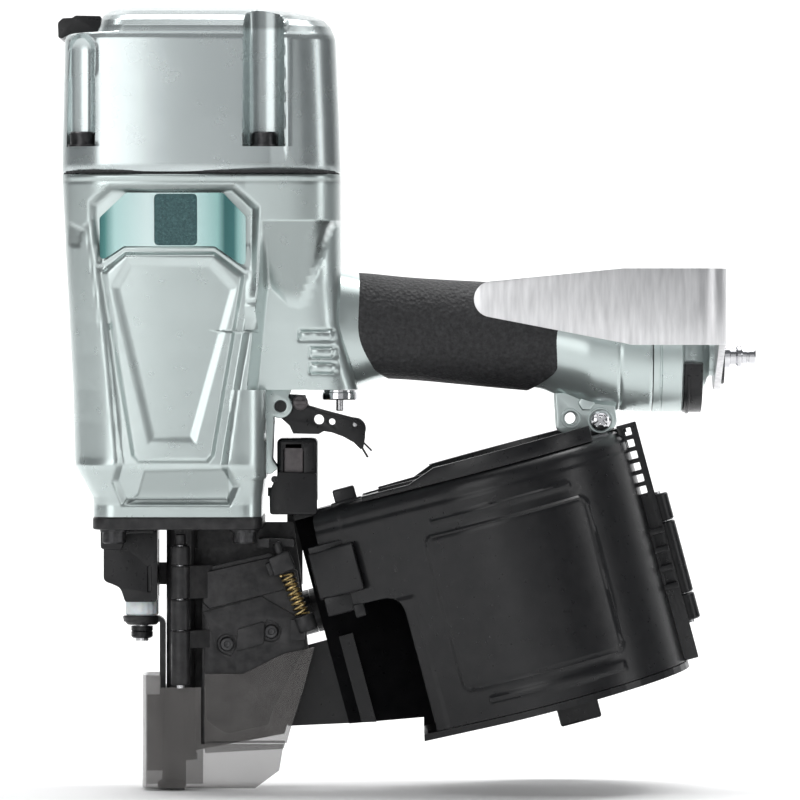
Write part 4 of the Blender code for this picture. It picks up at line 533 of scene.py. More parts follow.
def relief(x, z):
    """How deep the near face is sunk at each point: frame, panel, creases, vents and seams."""
    deep = RECESS * ramp(x, z, FRAME, CHAMFER)
    deep = deep - 2.5 * smooth(ramp(x, z, PANEL, 2.6)) + 1.1 * smooth(ramp(x, z, INNER, 4.5))
    ridge = np.abs(inside(x, z, WINDOW) + 1.0)
    deep = deep - 0.9 * np.clip(1 - ridge / 1.0, 0, 1) * (z < 243.5) * (inside(x, z, PANEL) < 0)
    deep = deep + 1.6 * smooth(ramp(x, z, CREASE, 2.2)) + 0.8 * smooth(ramp(x, z, RIB, 1.2))
    deep = deep + 0.7 * smooth(ramp(x, z, TRAPEZOID, 1.6))
    for x0, x1, z0, z1 in VENTS:
        mouth = [(x0, z0), (x1, z0), (x1, z1), (x0, z1)]
        reach = inside(x, z, rounded(mouth, 1.2, 3))
        deep = deep + 1.3 * np.exp(-(((reach - 0.5) / 0.55) ** 2))
        deep = deep + 0.35 * smooth((reach - 0.8) / 0.6) * np.sin(x * 1.1)
    deep = deep + 0.45 * np.exp(-(((z - 271.6) / 0.5) ** 2))
    return deep + 1.1 * smooth((z - SEAM_Z + 0.8) / 0.8)


def slope_low(x):
    """The height at which the sloped shoulder meets the column behind the barrel."""
    return np.interp(x, [37.4, 43.8, 48.4, 52.6, 68.0], [224.5, 216.6, 215.6, 217.3, 252.6])


def barrel_ring(z, with_chamber):
    """One ring of the motor body's skin."""
    front, rear, half, front_r, rear_r = along(z, BARREL)
    counts = (170, 30, 16, 12)
    if not with_chamber:
        x, y, facing = section(front, 38.5 if z > 140 else rear, half, half, front_r, rear_r, counts)
    else:
        tail, column, tail_r = along(z, REAR)
        x, y, facing = section(front, 71.6, half, half, front_r, 22, counts)
        low_x, low_y, low_facing = section(front, tail, half, column, front_r, tail_r, counts)
        edge = np.interp(z, [181.0, 253.5], [29.8, 37.6])
        flat = low_facing == 1
        stepped = half + (column - half) * smooth((low_x - edge) / 5.5)
        low_y = np.where(flat, np.sign(low_y) * stepped, low_y)
        t = np.clip((SHOULDER_Z - z) / np.maximum(SHOULDER_Z - slope_low(x), 1.5), 0, 1)
        t = np.where((x > 30) & (z < SHOULDER_Z), t, 0.0) if z > 205 else np.ones_like(x)
        x, y, facing = x + (low_x - x) * t, y + (low_y - y) * t, facing + (low_facing - facing) * t
    crown = CROWN * np.clip((x - CROWN_X) / 45.0, -1, 0.75) ** 2 * smooth((z - FOOT_Z) / 30.0)
    y = y - np.sign(y) * facing * (relief(x, np.full_like(x, z)) + crown * facing)
    return np.stack([x, y, np.full_like(x, z)], -1)


def shadow_on(made, painted_shade):
    """Stores painted shade at each vertex, from a function of the side view: how much darker the colour is
    made there.
    """
    places = np.empty(len(made.data.vertices) * 3)
    made.data.vertices.foreach_get("co", places)
    places = places.reshape(-1, 3) / MM
    layer = made.data.attributes.new("shade", "FLOAT", "POINT")
    values = np.clip(painted_shade(places[:, 0], np.abs(places[:, 1]), places[:, 2]), 0, 1)
    layer.data.foreach_set("value", values.astype(np.float32))
    return made


def body_painted_shade(x, y, z):
    """Painted shade: the frame's chamfer (most at its top), trapezoid, low band, creases, rib, under the
    shoulder and the seam line, and darker towards the rear and at the front flare, where less light falls.
    """
    band = inside(x, z, FRAME)
    on_face = smooth((y - 33) / 3)
    chamfer = smooth(band / 0.6) * smooth((CHAMFER + 0.2 - band) / 0.6)
    # Each term below adds painted shade where a recess, crease or turned-away side would lie in shade.
    painted_shade = 0.50 * chamfer * smooth((z - 252) / 14) + 0.22 * chamfer * smooth((252 - z) / 20)
    painted_shade = painted_shade + 0.30 * smooth(inside(x, z, TRAPEZOID) / 0.8)
    painted_shade = painted_shade + 0.16 * smooth((146 - z) / 3) * smooth((z - 128) / 2)
    painted_shade = painted_shade + 0.34 * smooth(inside(x, z, CREASE) / 0.8) + 0.42 * smooth(inside(x, z, RIB) / 0.8)
    under = (z < SHOULDER_Z) & (z > slope_low(x)) & (x > 37.2)
    slope = smooth((SHOULDER_Z - z) / 0.8) * smooth((z - slope_low(x)) / 1.2) * smooth((x - 37.0) / 0.8)
    painted_shade = (painted_shade + 0.55 * slope * under) * on_face
    side = 0.30 * smooth((x - 30.0) / 34.0) * (z > SHOULDER_Z) + 0.26 * smooth((x - 66.0) / 6.0)
    return painted_shade + side + 0.22 * smooth((-46.0 - x) / 4.0) + 0.3 * np.exp(-(((z - 271.6) / 0.45) ** 2))


def cap_painted_shade(x, y, z):
    """Painted shade: darker towards the rear and at the front corner, where less light falls, and on the top
    bevel.
    """
    painted_shade = 0.30 * smooth((x - 20.0) / 44.0) + 0.18 * smooth((x - 60.0) / 10.0)
    painted_shade = painted_shade + 0.24 * smooth((-48.5 - x) / 3.0)
    painted_shade = painted_shade + 0.45 * smooth((z - 338.4) / 2.2) * (x < 50)
    return painted_shade + 0.3 * smooth((z - 338.0) / 5.0) * (x >= 50)


def make_body():
    """The motor body: barrel with its framed panel, shoulder, column, flare and collar."""
    upper = list(np.arange(LEDGE_Z, SHOULDER_Z - 0.1, 0.75)) + [SHOULDER_Z - 0.05]
    upper += list(np.arange(SHOULDER_Z, SEAM_Z, 0.7)) + [SEAM_Z]
    chamber = skin("body_upper", [barrel_ring(z, True) for z in upper], 75)
    lower = list(np.arange(FOOT_Z, LEDGE_Z, 0.75)) + [LEDGE_Z]
    barrel = skin("body_lower", [barrel_ring(z, False) for z in lower], 75)
    # The body's vertices carry painted shade: darker chamfers, creases, seam line and rear side.
    return shadow_on(facing_out(joined("motor_body", [chamber, barrel], 75)), body_painted_shade)


def sleeve_ring(x, up, down, wide, centre, count=96, power=2.25):
    """One upright ring round the handle's line."""
    turns = np.linspace(0, 2 * math.pi, count, endpoint=False)
    c, s = np.cos(turns), np.sin(turns)
    y = wide * np.sign(c) * np.abs(c) ** (2 / power)
    high = np.sign(s) * np.abs(s) ** (2 / power)
    z = centre + np.where(s > 0, up, down) * high
    return np.stack([np.full(count, x), y, z], -1)


def handle_z(x):
    """The height of the handle's middle line."""
    return 209.0 - 0.066 * (x - 73.4)


def make_neck():
    """The stub between the chamber and the grip."""
    rows = [
        (56, 26, 31, 27), (66, 25.6, 30.6, 24.5), (73, 24.6, 29.8, 22), (80, 23.2, 27.2, 20.5),
        (86, 22, 24.6, 19.5), (96, 20, 21.5, 18),
    ]
    return skin("neck", [sleeve_ring(x, u, d, w, handle_z(x)) for x, u, d, w in resampled(rows, 1.0)], 40)


def resampled(rows, step):
    """Rows of (x, values...) at even steps, eased by a running mean."""
    table = np.array(rows, float)
    xs = np.arange(table[0, 0], table[-1, 0] + step / 2, step)
    out = np.stack([xs] + [np.interp(xs, table[:, 0], table[:, i]) for i in range(1, table.shape[1])], -1)
    kernel = np.ones(5) / 5
    for i in range(1, out.shape[1]):
        out[:, i] = np.convolve(np.pad(out[:, i], 2, "edge"), kernel, "valid")
    return out


TAIL_Z = 194.4  # the height of the axis through the end cap, the air plug and the hook's eye
TAIL = [  # along, centre, half height, half width
    (150, 203.6, 22.0, 19.0), (162, 202.8, 23.2, 20.0), (172, 200.6, 25.2, 22.0), (182, 198.0, 26.6, 24.2),
    (196, 196.0, 26.2, 25.0),
    (211, TAIL_Z, 25.3, 25.3),
]


def make_tail():
    """The flared end of the handle, with a line cut round it."""
    rings = []
    for x, centre, high, wide in resampled(TAIL, 0.8):
        cut = 0.5 * math.exp(-(((x - 196.6) / 0.5) ** 2)) + 0.6 * max(0.0, (x - 210.4) / 0.6)
        rings.append(sleeve_ring(x, high - cut, high - cut, wide - cut, centre, power=2.1))
    return skin("tail", rings, 40)


def make_grip():
    """The moulded sleeve, its ends raked and rounded, with a seam along its top."""
    count, steps = 128, 90
    turns = np.linspace(0, 2 * math.pi, count, endpoint=False)
    high = np.sign(np.sin(turns)) * np.abs(np.sin(turns)) ** 0.9
    front = 69.5 + np.where(high > 0, 3.5, 21.5) * high**2
    rear = 176.0 + np.where(high > 0, 3.0, -19.0) * high**2
    rings = []
    for s in [-1.0, -0.5] + list(np.linspace(0, 1, steps)) + [1.5, 2.0]:
        t = min(max(s, 0.0), 1.0)
        x = front + (rear - front) * t
        reach = np.minimum(x - front, rear - x)
        lip = 2.2 * (1 - np.sqrt(np.clip(1 - (1 - np.clip(reach / 2.2, 0, 1)) ** 2, 0, 1)))
        sunk = 3.2 if s in (-1.0, 2.0) else 2.2 if s in (-0.5, 1.5) else 0.0
        swell = 1.0 * smooth(np.clip((x - 95) / 70, 0, 1)) + 0.5 * np.exp(-(((x - 84) / 12) ** 2))
        tall = 23.0 + swell - np.maximum(lip, sunk)
        wide = 20.2 + swell - np.maximum(lip, sunk)
        middle = 208.9 - 0.075 * (x - 73.4)
        c = np.cos(turns)
        y = wide * np.sign(c) * np.abs(c) ** 0.9
        seam = 0.35 * np.exp(-((y / 0.6) ** 2))
        rings.append(np.stack([x, y, middle + high * (tall - seam)], -1))
    return skin("grip_sleeve", rings, 40)


CAP_ROWS = [  # height, front, rear, half width, front corner, rear corner
    (275.6, -51.4, 71.1, 51.4, 21.4, 21.4), (276.2, -52.0, 71.6, 52.0, 22, 22),
    (287.0, -51.9, 71.3, 51.6, 22, 22),
    (300.0, -51.6, 70.9, 51.0, 22, 22), (335.0, -50.8, 69.4, 48.6, 20, 22),
    (336.6, -50.2, 69.0, 48.1, 20, 22),
    (337.6, -48.6, 68.6, 47.6, 19, 22), (338.0, -36.2, 68.4, 47.4, 12, 22),
    (340.7, -35.0, 67.2, 46.2, 12, 22),
    (343.4, -34.4, 64.6, 44.2, 12, 21), (345.6, -33.6, 60.4, 41.6, 12, 20),
    (347.6, -31.6, 51.5, 38.0, 12, 18),
    (348.8, -29.2, 42.0, 34.5, 11, 16), (349.6, -26.0, 31.0, 30.0, 10, 14), (350.0, -22.5, 26.0, 26.0, 9, 12),
]
GROOVES = ((38.0, 9.9, 4.2, 400.0), (-43.6, 7.6, 2.6, 338.5))  # middle, half width, bow, top
GROOVE_FLOOR_Z, GROOVE_WALL = 287.0, 34.5


def cap_ring(z, grooved):
    """One ring of the cylinder cap."""
    front, rear, half, front_r, rear_r = along(z, CAP_ROWS)
    x, y, facing = section(front, rear, half, half, front_r, rear_r, (200, 30, 30, 12))
    y = y - np.sign(y) * facing * CROWN * np.clip((x - CROWN_X) / 45.0, -1, 1) ** 2
    for middle, wide, bow, top in GROOVES if grooved else ():
        u = np.clip(np.abs(x - middle) / wide, 0, 1)
        if top < 400:
            u = np.clip(np.hypot(u, max(0.0, (z - top + 9) / 9)), 0, 1)
        wall = GROOVE_WALL + bow * u**2 + (half - GROOVE_WALL + 3) * u**9
        y = np.where(facing > 0, np.sign(y) * np.minimum(np.abs(y), wall), y)
    ridge = 0.6 * np.exp(-(((x - 48.6) / 1.1) ** 2)) * facing * (z > 284) * (z < 344)
    y = y + np.sign(y) * ridge
    return np.stack([x, y, np.full_like(x, z)], -1)


def make_cap_skin():
    """The cylinder cap, with its bolt grooves, stepped front and domed rear."""
    heights = [(275.6, False), (276.2, False), (280.0, False), (284.0, False), (GROOVE_FLOOR_Z, False)]
    heights += [(GROOVE_FLOOR_Z, True)] + [(z, True) for z in np.arange(288.0, 335.0, 1.0)]
    heights += [(z, True) for z in np.arange(335.0, 350.0, 0.3)] + [(350.0, True)]
    # The cap's vertices carry painted shade: darker rear, front corner and top bevel.
    return shadow_on(skin("cap_skin", [cap_ring(z, grooved) for z, grooved in heights], 50), cap_painted_shade)


def socket_bolt(name, x, y, base, up, radius=5.2, tall=6.6, around=48):
    """A socket head: knurled side, rounded rim and a hexagon socket."""
    sign = 1 if up else -1
    profile = [
        (0, 0), (radius * 1.22, 0), (radius * 1.22, 0.9), (radius, 1.0), (radius, tall - 0.7),
        (radius - 0.6, tall),
        (2.9, tall), (2.6, tall - 0.4), (2.6, 1.8), (0, 1.4),
    ]
    head = turned(name, (x, y, base), (0, 0, sign), profile, around, 30)
    for vertex in head.data.vertices:
        dx, dy = vertex.co.x / MM - x, vertex.co.y / MM - y
        reach, level = math.hypot(dx, dy), abs(vertex.co.z / MM - base)
        if radius - 0.2 < reach < radius + 0.2 and 1.0 <= level < tall:
            ripple = 1 + 0.028 * math.cos(math.atan2(dy, dx) * around / 2)
            vertex.co.x, vertex.co.y = (x + dx * ripple) * MM, (y + dy * ripple) * MM
        if abs(reach - 2.6) < 0.05:
            turn = math.atan2(dy, dx) % (math.pi / 3) - math.pi / 6
            grow = math.cos(math.pi / 6) / math.cos(turn) * 1.12
            vertex.co.x, vertex.co.y = (x + dx * grow) * MM, (y + dy * grow) * MM
    return head


# ---------------------------------------------------------------- the motor and handle

place(make_body(), PAINT, "tool", "housing")
place(make_neck(), PAINT, "tool", "housing")
place(make_tail(), PAINT, "tool", "housing")
place(make_grip(), GRIP, "tool", "handle_grip")
place(make_cap_skin(), PAINT_CAP, "tool", "cylinder_cap")
for number, (x, y) in enumerate(((-42.5, -41.5), (-42.5, 41.5), (38.0, -41.5), (38.0, 41.5)), 1):
    bolt = socket_bolt(f"cap_screw_{number}", x, y, GROOVE_FLOOR_Z, True)
    place(bolt, BOLT_STEEL, "tool", f"cap_bolt_{number}")


FILM_THICK, FILM_CUTS = 0.5, 9


def film(name, outline, sunk, look):
    """A thin film that lies on the frame's floor."""
    made = slab(name, "XZ", rounded(outline, 2.2, 4), (-FILM_THICK, 0.0))
    shape = bmesh.new()
    shape.from_mesh(made.data)
    bmesh.ops.triangulate(shape, faces=shape.faces)
    bmesh.ops.subdivide_edges(shape, edges=shape.edges, cuts=FILM_CUTS, use_grid_fill=True)
    for vertex in shape.verts:
        half = along(vertex.co.z / MM, BARREL)[2]
        vertex.co.y -= (half - sunk) * MM
    shape.to_mesh(made.data)
    shape.free()
    made.data.shade_flat()
    return place(made, look, "tool")


film("window_film", WINDOW, RECESS - 0.5, MIRROR)
film("window_band", [(-10.4, 243.3), (8.6, 243.3), (8.6, 266.0), (-10.4, 266.0)], RECESS - 0.85, MIRROR_DARK)

# ---------------------------------------------------------------- tail fittings and bracket

PIN_X, PIN_Z = 44.6, 171.9  # the trigger's pin
LUG = (
    [(36.5, 180.5), (49.5, 180.5)] + arc((PIN_X, PIN_Z), 5.4, 50, -125, 12)
    + [(41.6, 165.5), (40.9, 148.0), (43.6, 144.2), (40.5, 141.6), (36.5, 141.8)]
)
LOBES = rounded(
    [
        (167.4, 178), (168.4, 160.6), (174.0, 159.6), (179.8, 162.6), (184.6, 160.2), (190.6, 159.4),
        (195.6, 163.6), (193.6, 178),
    ],
    [1, 5.4, 5.0, 4.0, 4.0, 5.2, 5.0, 1], 7,
)
NUT = [(0, 1.6), (3.4, 1.5), (3.9, 1.0), (3.9, 0), (0, 0)]
for side in (-1, 1):
    lug = slab(f"trigger_lug_{side}", "XZ", LUG, sorted((10.2 * side, 13.2 * side)))
    lug = subtract(lug, rod("bore", (PIN_X, 9 * side, PIN_Z), (PIN_X, 15 * side, PIN_Z), 2.2, 32))
    place(bevelled(lug, 0.7), PAINT, "tool", "housing")
    lobes = slab(f"bracket_{side}", "XZ", LOBES, sorted((6.2 * side, 10.0 * side)))
    lobes = subtract(lobes, rod("bore", (174.6, 5 * side, 166.5), (174.6, 12 * side, 166.5), 2.6, 32))
    place(bevelled(lobes, 0.9), PAINT, "tool", "housing")
    for number, (x, z, inner, outer) in enumerate(((174.6, 166.5, 3.1, 4.6), (188.0, 165.6, 4.7, 5.9))):
        ring = [(inner, 0), (outer, 0), (outer - 0.3, 0.7), (inner + 0.3, 0.7)]
        collar = turned(f"bracket_ring_{side}_{number}", (x, 9.9 * side, z), (0, side, 0), ring, 48)
        place(collar, PAINT, "tool")
    nut = turned(f"bracket_hex_{side}", (181.6, 9.9 * side, 173.4), (0, side, 0), NUT, 6)
    place(bevelled(nut, 0.25), PAINT, "tool")


def cross_screw(name, x, y, z, radius, tall, slot_wide=1.1):
    """A domed screw head with a cross-shaped recess, on the near side."""
    head = turned(
        name, (x, y, z), (0, -1, 0),
        [
            (0, tall), (radius * 0.45, tall * 0.96), (radius * 0.8, tall * 0.72), (radius, tall * 0.3),
            (radius, 0), (0, 0),
        ],
        48,
    )
    arms = []
    for number in range(2):
        turn = math.pi / 4 + math.pi * number / 2
        arm = box(
            f"arm_{number}", (-radius * 0.55, radius * 0.55), (-tall - 1, -tall * 0.35),
            (-slot_wide / 2, slot_wide / 2),
        )
        arm.matrix_world = Matrix.Translation(Vector((x, y, z)) * MM) @ Matrix.Rotation(turn, 4, "Y")
        bpy.context.view_layer.update()
        arms.append(arm)
    return subtract(head, *arms)


place(
    cross_screw("bracket_screw_head", 188.0, -10.5, 165.6, 4.6, 2.4), CHROME, "tool", "bracket_screw",
    slot="steel",
)
end_profile = [
    (25.3, 0), (25.3, 2.6), (24.9, 3.0), (24.9, 3.6), (25.3, 4.0), (25.3, 12.6), (24.6, 13.5), (23.6, 13.9),
    (19.4, 14.0),
]
end_profile += [
    (9 + 10 * math.cos(a), 14.0 + 10.8 * math.sin(a))
    for a in np.linspace(0.05, math.pi / 2 - 0.1, 12)
]
end_profile += [
    (9.4, 25.2), (9.0, 25.6), (9.0, 32.0), (8.6, 32.4), (4.9, 32.4), (4.9, 20), (14.0, 8), (15.0, 0),
]
end = turned("end_cap_skin", (211.3, 0, TAIL_Z), (1, 0, 0), end_profile, 128)
place(end, PAINT, "tool", "end_cap")
trim = slab(
    "trim_skin", "YZ",
    rounded(arc((0, TAIL_Z), 25.2, 188, 352, 40) + arc((0, TAIL_Z), 19.3, 352, 188, 40), 0.1, 1),
    (225.2, 233.2),
)
place(bevelled(trim, 0.9), PLASTIC, "tool", "end_cap_trim")
ridges = []
for n in range(3):
    outer = arc((0, TAIL_Z), 25.9 - 1.4 * n, 200, 340, 40)
    inner = arc((0, TAIL_Z), 24.6 - 1.4 * n, 340, 200, 40)
    ridges.append(bevelled(slab(f"ridge_{n}", "YZ", outer + inner, (226.2 + 2.3 * n, 227.6 + 2.3 * n)), 0.3))
place(joined("trim_ridges", ridges), PLASTIC, "tool")
plug_profile = [
    (2.0, 14.1), (3.2, 14.1), (3.65, 13.5), (3.65, 11.2), (3.2, 10.9), (3.2, 10.3), (3.65, 10.0),
    (3.65, 8.2), (5.0, 7.5), (5.05, 6.8),
    (5.0, 6.0), (3.9, 5.2), (3.9, 2.8), (5.25, 2.4), (5.25, 0), (4.4, 0), (4.4, -9), (2.0, -9),
]
place(turned("plug_skin", (243.9, 0, TAIL_Z), (1, 0, 0), plug_profile, 64), CHROME, "tool", "air_plug")


def make_hook_skin():
    """The bent hook: side blade with a round tip, bend and rear wall with an eye."""
    bend, rise = (228.0, -50.0), 3.0
    strip = [(130.5, -64.0)] + arc(bend, 14.0, -90, 0, 20) + [(242.0, 12.0), (239.0, 12.0)]
    strip += arc(bend, 14.0 - rise, 0, -90, 20) + [(130.5, -61.0)]
    hook = slab("hook_skin", "XY", strip, (170.0, 234.0))
    blade = arc((138.4, 219.4), 7.9, 95, 262, 16) + [
        (200.0, 199.4), (252.0, 199.4), (252.0, 233.0), (196.0, 233.0),
    ]
    wall = slab("blade", "XZ", blade, (-70.0, -46.0))
    eye = arc((0, TAIL_Z), 15.0, -120, 90, 24) + [(-46.5, 233.0), (-46.5, 199.4), (-14.0, 184.0)]
    eye = slab("eye", "YZ", eye[:-1], (236.0, 246.0))
    hook = boolean(hook, [add(wall, eye)], "INTERSECT")
    hook = subtract(hook, rod("eye_hole", (230, 0, TAIL_Z), (250, 0, TAIL_Z), 9.2, 64))
    return bevelled(hook, 0.5, 2)


place(make_hook_skin(), RAW, "rafter_hook", "rafter_hook")

# ---------------------------------------------------------------- magazine

LEAN = math.radians(15.0)
DRUM = (175.0, 59.0)
MOUTH, MOUTH_HALF, COVER_FRONT, WALL = 80.0, 9.0, 88.0, 2.5
SHOULDER_LOW, SHOULDER_R, COVER_TOP, COVER_FOOT = 98.0, 7.5, 105.4, -2.7
INNER_TOP = 103.5
ACROSS = (-90, 90)  # wider than the magazine, for cuts right through it
LABEL_PANEL = rounded([(134, 10.5), (208, 10.5), (209, 83), (134, 83)], 6, 6)
UPPER_BAR = rounded([(139, 87.0), (203, 87.0), (203, 90.4), (139, 89.0)], 0.8, 3)
LOWER_BAR = rounded([(144, 3.6), (206, 3.0), (206, 7.6), (144, 7.4)], 0.8, 3)


def lean_back(points):
    """Points of the magazine's own frame, in the row frame."""
    points = np.asarray(points, float)
    x, y, z = points[..., 0], points[..., 1], points[..., 2]
    return np.stack([x * math.cos(LEAN) - z * math.sin(LEAN), y, x * math.sin(LEAN) + z * math.cos(LEAN)], -1)


def tilt(made):
    """Leans a piece drawn in the magazine's frame."""
    made.data.transform(Matrix.Rotation(-LEAN, 4, "Y"))
    return made


def drum_outline(inset, front, side, step=1.0):
    """The drum's plan on one side, from its rear to its front, evenly stepped."""
    centre, radius = DRUM[0], DRUM[1] - inset
    mouth = MOUTH_HALF - inset
    reach = math.hypot(centre - MOUTH, mouth)
    lean = math.degrees(math.atan2(mouth, centre - MOUTH))
    tangent = 180 - lean - math.degrees(math.acos(radius / reach))
    last = (centre + radius * math.cos(math.radians(tangent)), radius * math.sin(math.radians(tangent)))
    share = (last[0] - front) / (last[0] - MOUTH)
    end = (front, last[1] + (mouth - last[1]) * share)
    curve = arc((centre, 0), radius, 0.6, tangent, int(math.radians(tangent) * DRUM[1] / step))
    shares = np.linspace(0, 1, int(math.dist(last, end) / step))[1:]
    run = [tuple(np.array(last) + (np.array(end) - np.array(last)) * t) for t in shares]
    return np.array([(x, y * side) for x, y in curve + run])


def cover_relief(x, z):
    """How far the cover's wall stands out: label panel, bars and steps."""
    out = 0.8 * smooth(ramp(x, z, LABEL_PANEL, 1.0))
    out = out - 0.35 * np.exp(-(((inside(x, z, LABEL_PANEL) - 1.8) / 0.5) ** 2))
    out = out + 0.7 * smooth(ramp(x, z, UPPER_BAR, 0.7)) + 0.7 * smooth(ramp(x, z, LOWER_BAR, 0.7))
    out = out + 0.5 * smooth((96.0 - z) / 1.2) - 0.5
    return out + 0.5 * smooth((124.0 - x) / 1.0) * (z < 58) + 0.4 * smooth((100.0 - x) / 0.8)


def make_cover_skin():
    """The near wall: a thin shell with a rounded shoulder, a label panel and a notch."""
    outer = drum_outline(0, COVER_FRONT, -1)
    normals = np.gradient(outer, axis=0)
    normals = np.stack([-normals[:, 1], normals[:, 0]], -1)
    normals /= np.linalg.norm(normals, axis=1)[:, None]
    normals *= np.sign((normals * (outer - np.array([DRUM[0], 0.0]))).sum(1).mean())
    heights = np.concatenate([np.arange(COVER_FOOT, 96.0, 0.9), np.linspace(96.0, COVER_TOP, 14)])
    columns = []
    for point, normal in zip(outer, normals):
        bend = np.clip((heights - SHOULDER_LOW) / SHOULDER_R, 0, 1)
        shoulder = SHOULDER_R * (1 - np.sqrt(np.clip(1 - bend**2, 0, 1)))
        out = cover_relief(np.full_like(heights, point[0]), heights) - shoulder
        face = np.stack([point[0] + normal[0] * out, point[1] + normal[1] * out, heights], -1)
        inner_out = -WALL - shoulder * 0.8
        back_x, back_y = point[0] + normal[0] * inner_out, point[1] + normal[1] * inner_out
        back = np.stack([back_x, back_y, np.minimum(heights, INNER_TOP)], -1)
        columns.append(np.concatenate([face, back[::-1]]))
    wall = facing_out(skin("cover_skin", [lean_back(c) for c in columns], 30))
    notch = tilt(
        slab(
            "notch", "XZ", rounded([(60, -20), (118, -20), (118, 60), (60, 60)], [0, 0, 9, 0], 6),
            (-90, 20),
        )
    )
    return subtract(wall, notch)


place(make_cover_skin(), PLASTIC_SATIN, "magazine_cover", "magazine_cover")


LABEL_FRONT, LABEL_REAR, LABEL_LOW, LABEL_HIGH = 137.2, 205.8, 13.8, 79.8
LABEL_OUT, LABEL_BACK, LABEL_BEND_X = 0.62, 0.05, 140
LABEL_FLAT_NORMAL = (-0.42, -0.907)


def label_skin():
    """The smooth panel on the cover, bowed with the drum."""
    outer = drum_outline(0, COVER_FRONT, -1, 0.8)
    rings = []
    for x, y in [(x, y) for x, y in outer if LABEL_FRONT < x < LABEL_REAR]:
        reach = math.hypot(x - DRUM[0], y)
        normal = ((x - DRUM[0]) / reach, y / reach) if x > LABEL_BEND_X else LABEL_FLAT_NORMAL
        corners = (
            (LABEL_OUT, LABEL_LOW), (LABEL_OUT, LABEL_HIGH), (LABEL_BACK, LABEL_HIGH),
            (LABEL_BACK, LABEL_LOW),
        )
        rings.append(lean_back([(x + normal[0] * out, y + normal[1] * out, z) for out, z in corners]))
    return facing_out(skin("label_skin", rings, 40))


place(label_skin(), LABEL, "magazine_cover")


def deck_piece(name, side, body, front, low, high, inset):
    """One level of the magazine's stepped top."""
    outline = [tuple(p) for p in drum_outline(inset, front, side, 2.0)]
    plate = slab(
        name, "XY", outline + [(front, 0.15 * side), (DRUM[0] + DRUM[1] - inset, 0.15 * side)], (low, high),
    )
    return place(tilt(bevelled(plate, 0.6, 2)), PLASTIC, body)


for side, owner in ((-1, "magazine_cover"), (1, "tool")):
    deck_piece(f"deck_step_{owner}", side, owner, 92.0, 103.0, 105.6, 6.6)
    outline = [tuple(p) for p in drum_outline(2.2, 112.0, side, 2.0)]
    back = [tuple(p) for p in drum_outline(7.2, 114.0, side, 2.0)][::-1]
    rim = slab(f"deck_rim_{owner}", "XY", outline + back, (104.0, 111.0))
    rim = subtract(
        rim,
        slab("front", "XZ", [(60, 120), (60, 106.4), (134, 106.4), (147, 111.2), (147, 120)], ACROSS),
        box("rear", (218, 300), ACROSS, (90, 130)),
    )
    place(tilt(bevelled(rim, 0.5, 2)), PLASTIC, owner)
    outline = [tuple(p) for p in drum_outline(12.0, 120.0, side, 2.0)]
    back = [tuple(p) for p in drum_outline(15.0, 122.0, side, 2.0)][::-1]
    rib = subtract(
        slab(f"deck_rib_{owner}", "XY", outline + back, (105.0, 107.6)),
        box("rear", (214, 300), ACROSS, (90, 130)),
    )
    place(tilt(bevelled(rib, 0.4, 2)), PLASTIC, owner)

spine = box("spine_skin", (230.5, 239.5), (-9.6, -6.2), (-2.7, 106.8))
holes = [
    box(f"hole_{n}", (233.0, 236.6), (-12, -4), (z, z + 3.4))
    for n, z in enumerate(np.arange(74.5, 103.0, 5.4))
]
place(tilt(bevelled(subtract(spine, *holes), 0.4, 2)), PLASTIC, "magazine_cover")
ladder = [
    box(f"rib_{n}", (226.0, 239.2), (-12.6, -9.0), (z, z + 2.6), 0.5)
    for n, z in enumerate((30.0, 38.5, 47.0, 55.5))
]
ladder += [box("rail", (231.6, 234.0), (-12.2, -9.0), (28.0, 58.5), 0.5)]
place(tilt(joined("hinge_ribs", ladder)), PLASTIC, "magazine_cover")
BARRELS = (14.0, 26.0, "tool"), (26.4, 59.6, "magazine_cover"), (60.0, 72.4, "tool")
for number, (low, high, owner) in enumerate(BARRELS):
    barrel = [(1.9, 0), (4.3, 0), (4.9, 0.6), (4.9, high - low - 0.6), (4.3, high - low), (1.9, high - low)]
    place(tilt(turned(f"hinge_barrel_{number}", (240.5, 0, low), (0, 0, 1), barrel, 48)), PLASTIC, owner)

plate = slab("latch_skin", "XY", [(82.0, -18.0), (103.0, -27.4), (103.0, -21.6), (82.0, -11.4)], (66.0, 88.0))
place(tilt(bevelled(plate, 1.3, 4)), PLASTIC_SATIN, "magazine_latch", "magazine_latch")
block = [
    box("block", (84.0, 100.0), (-20.0, -12.5), (58.0, 66.8), 0.8),
    box("tooth", (96.0, 101.0), (-22.0, -14.0), (54.5, 60.5), 0.6),
    box("bar", (83.0, 104.0), (-21.5, -14.0), (87.2, 90.2), 0.6),
]
place(tilt(joined("latch_backing", block)), PLASTIC, "magazine_cover")
tab = [
    box("tab", (100.0, 110.0), (-14.0, -4.0), (104.8, 112.0), 0.9),
    box("tab_foot", (98.0, 112.0), (-16.0, -3.0), (104.0, 106.4), 0.6),
]
place(tilt(joined("deck_tab", tab)), PLASTIC, "magazine_cover")

# ---------------------------------------------------------------- nose, door and contact arm

HINGE_Y, DIAL_X = -18.5, -18  # the door's hinge and the depth dial
DOOR_SCREWS = (20.6, 65.3), (40.4, 70.9)
for number in range(1, 5):
    low, high = cad(f"nose_bolt_{number}")
    middle = (low + high) / 2
    place(
        socket_bolt(f"nose_screw_{number}", middle[0], middle[1], 117.2, False, 5.2, 6.2), BOLT_STEEL,
        "tool",
    )

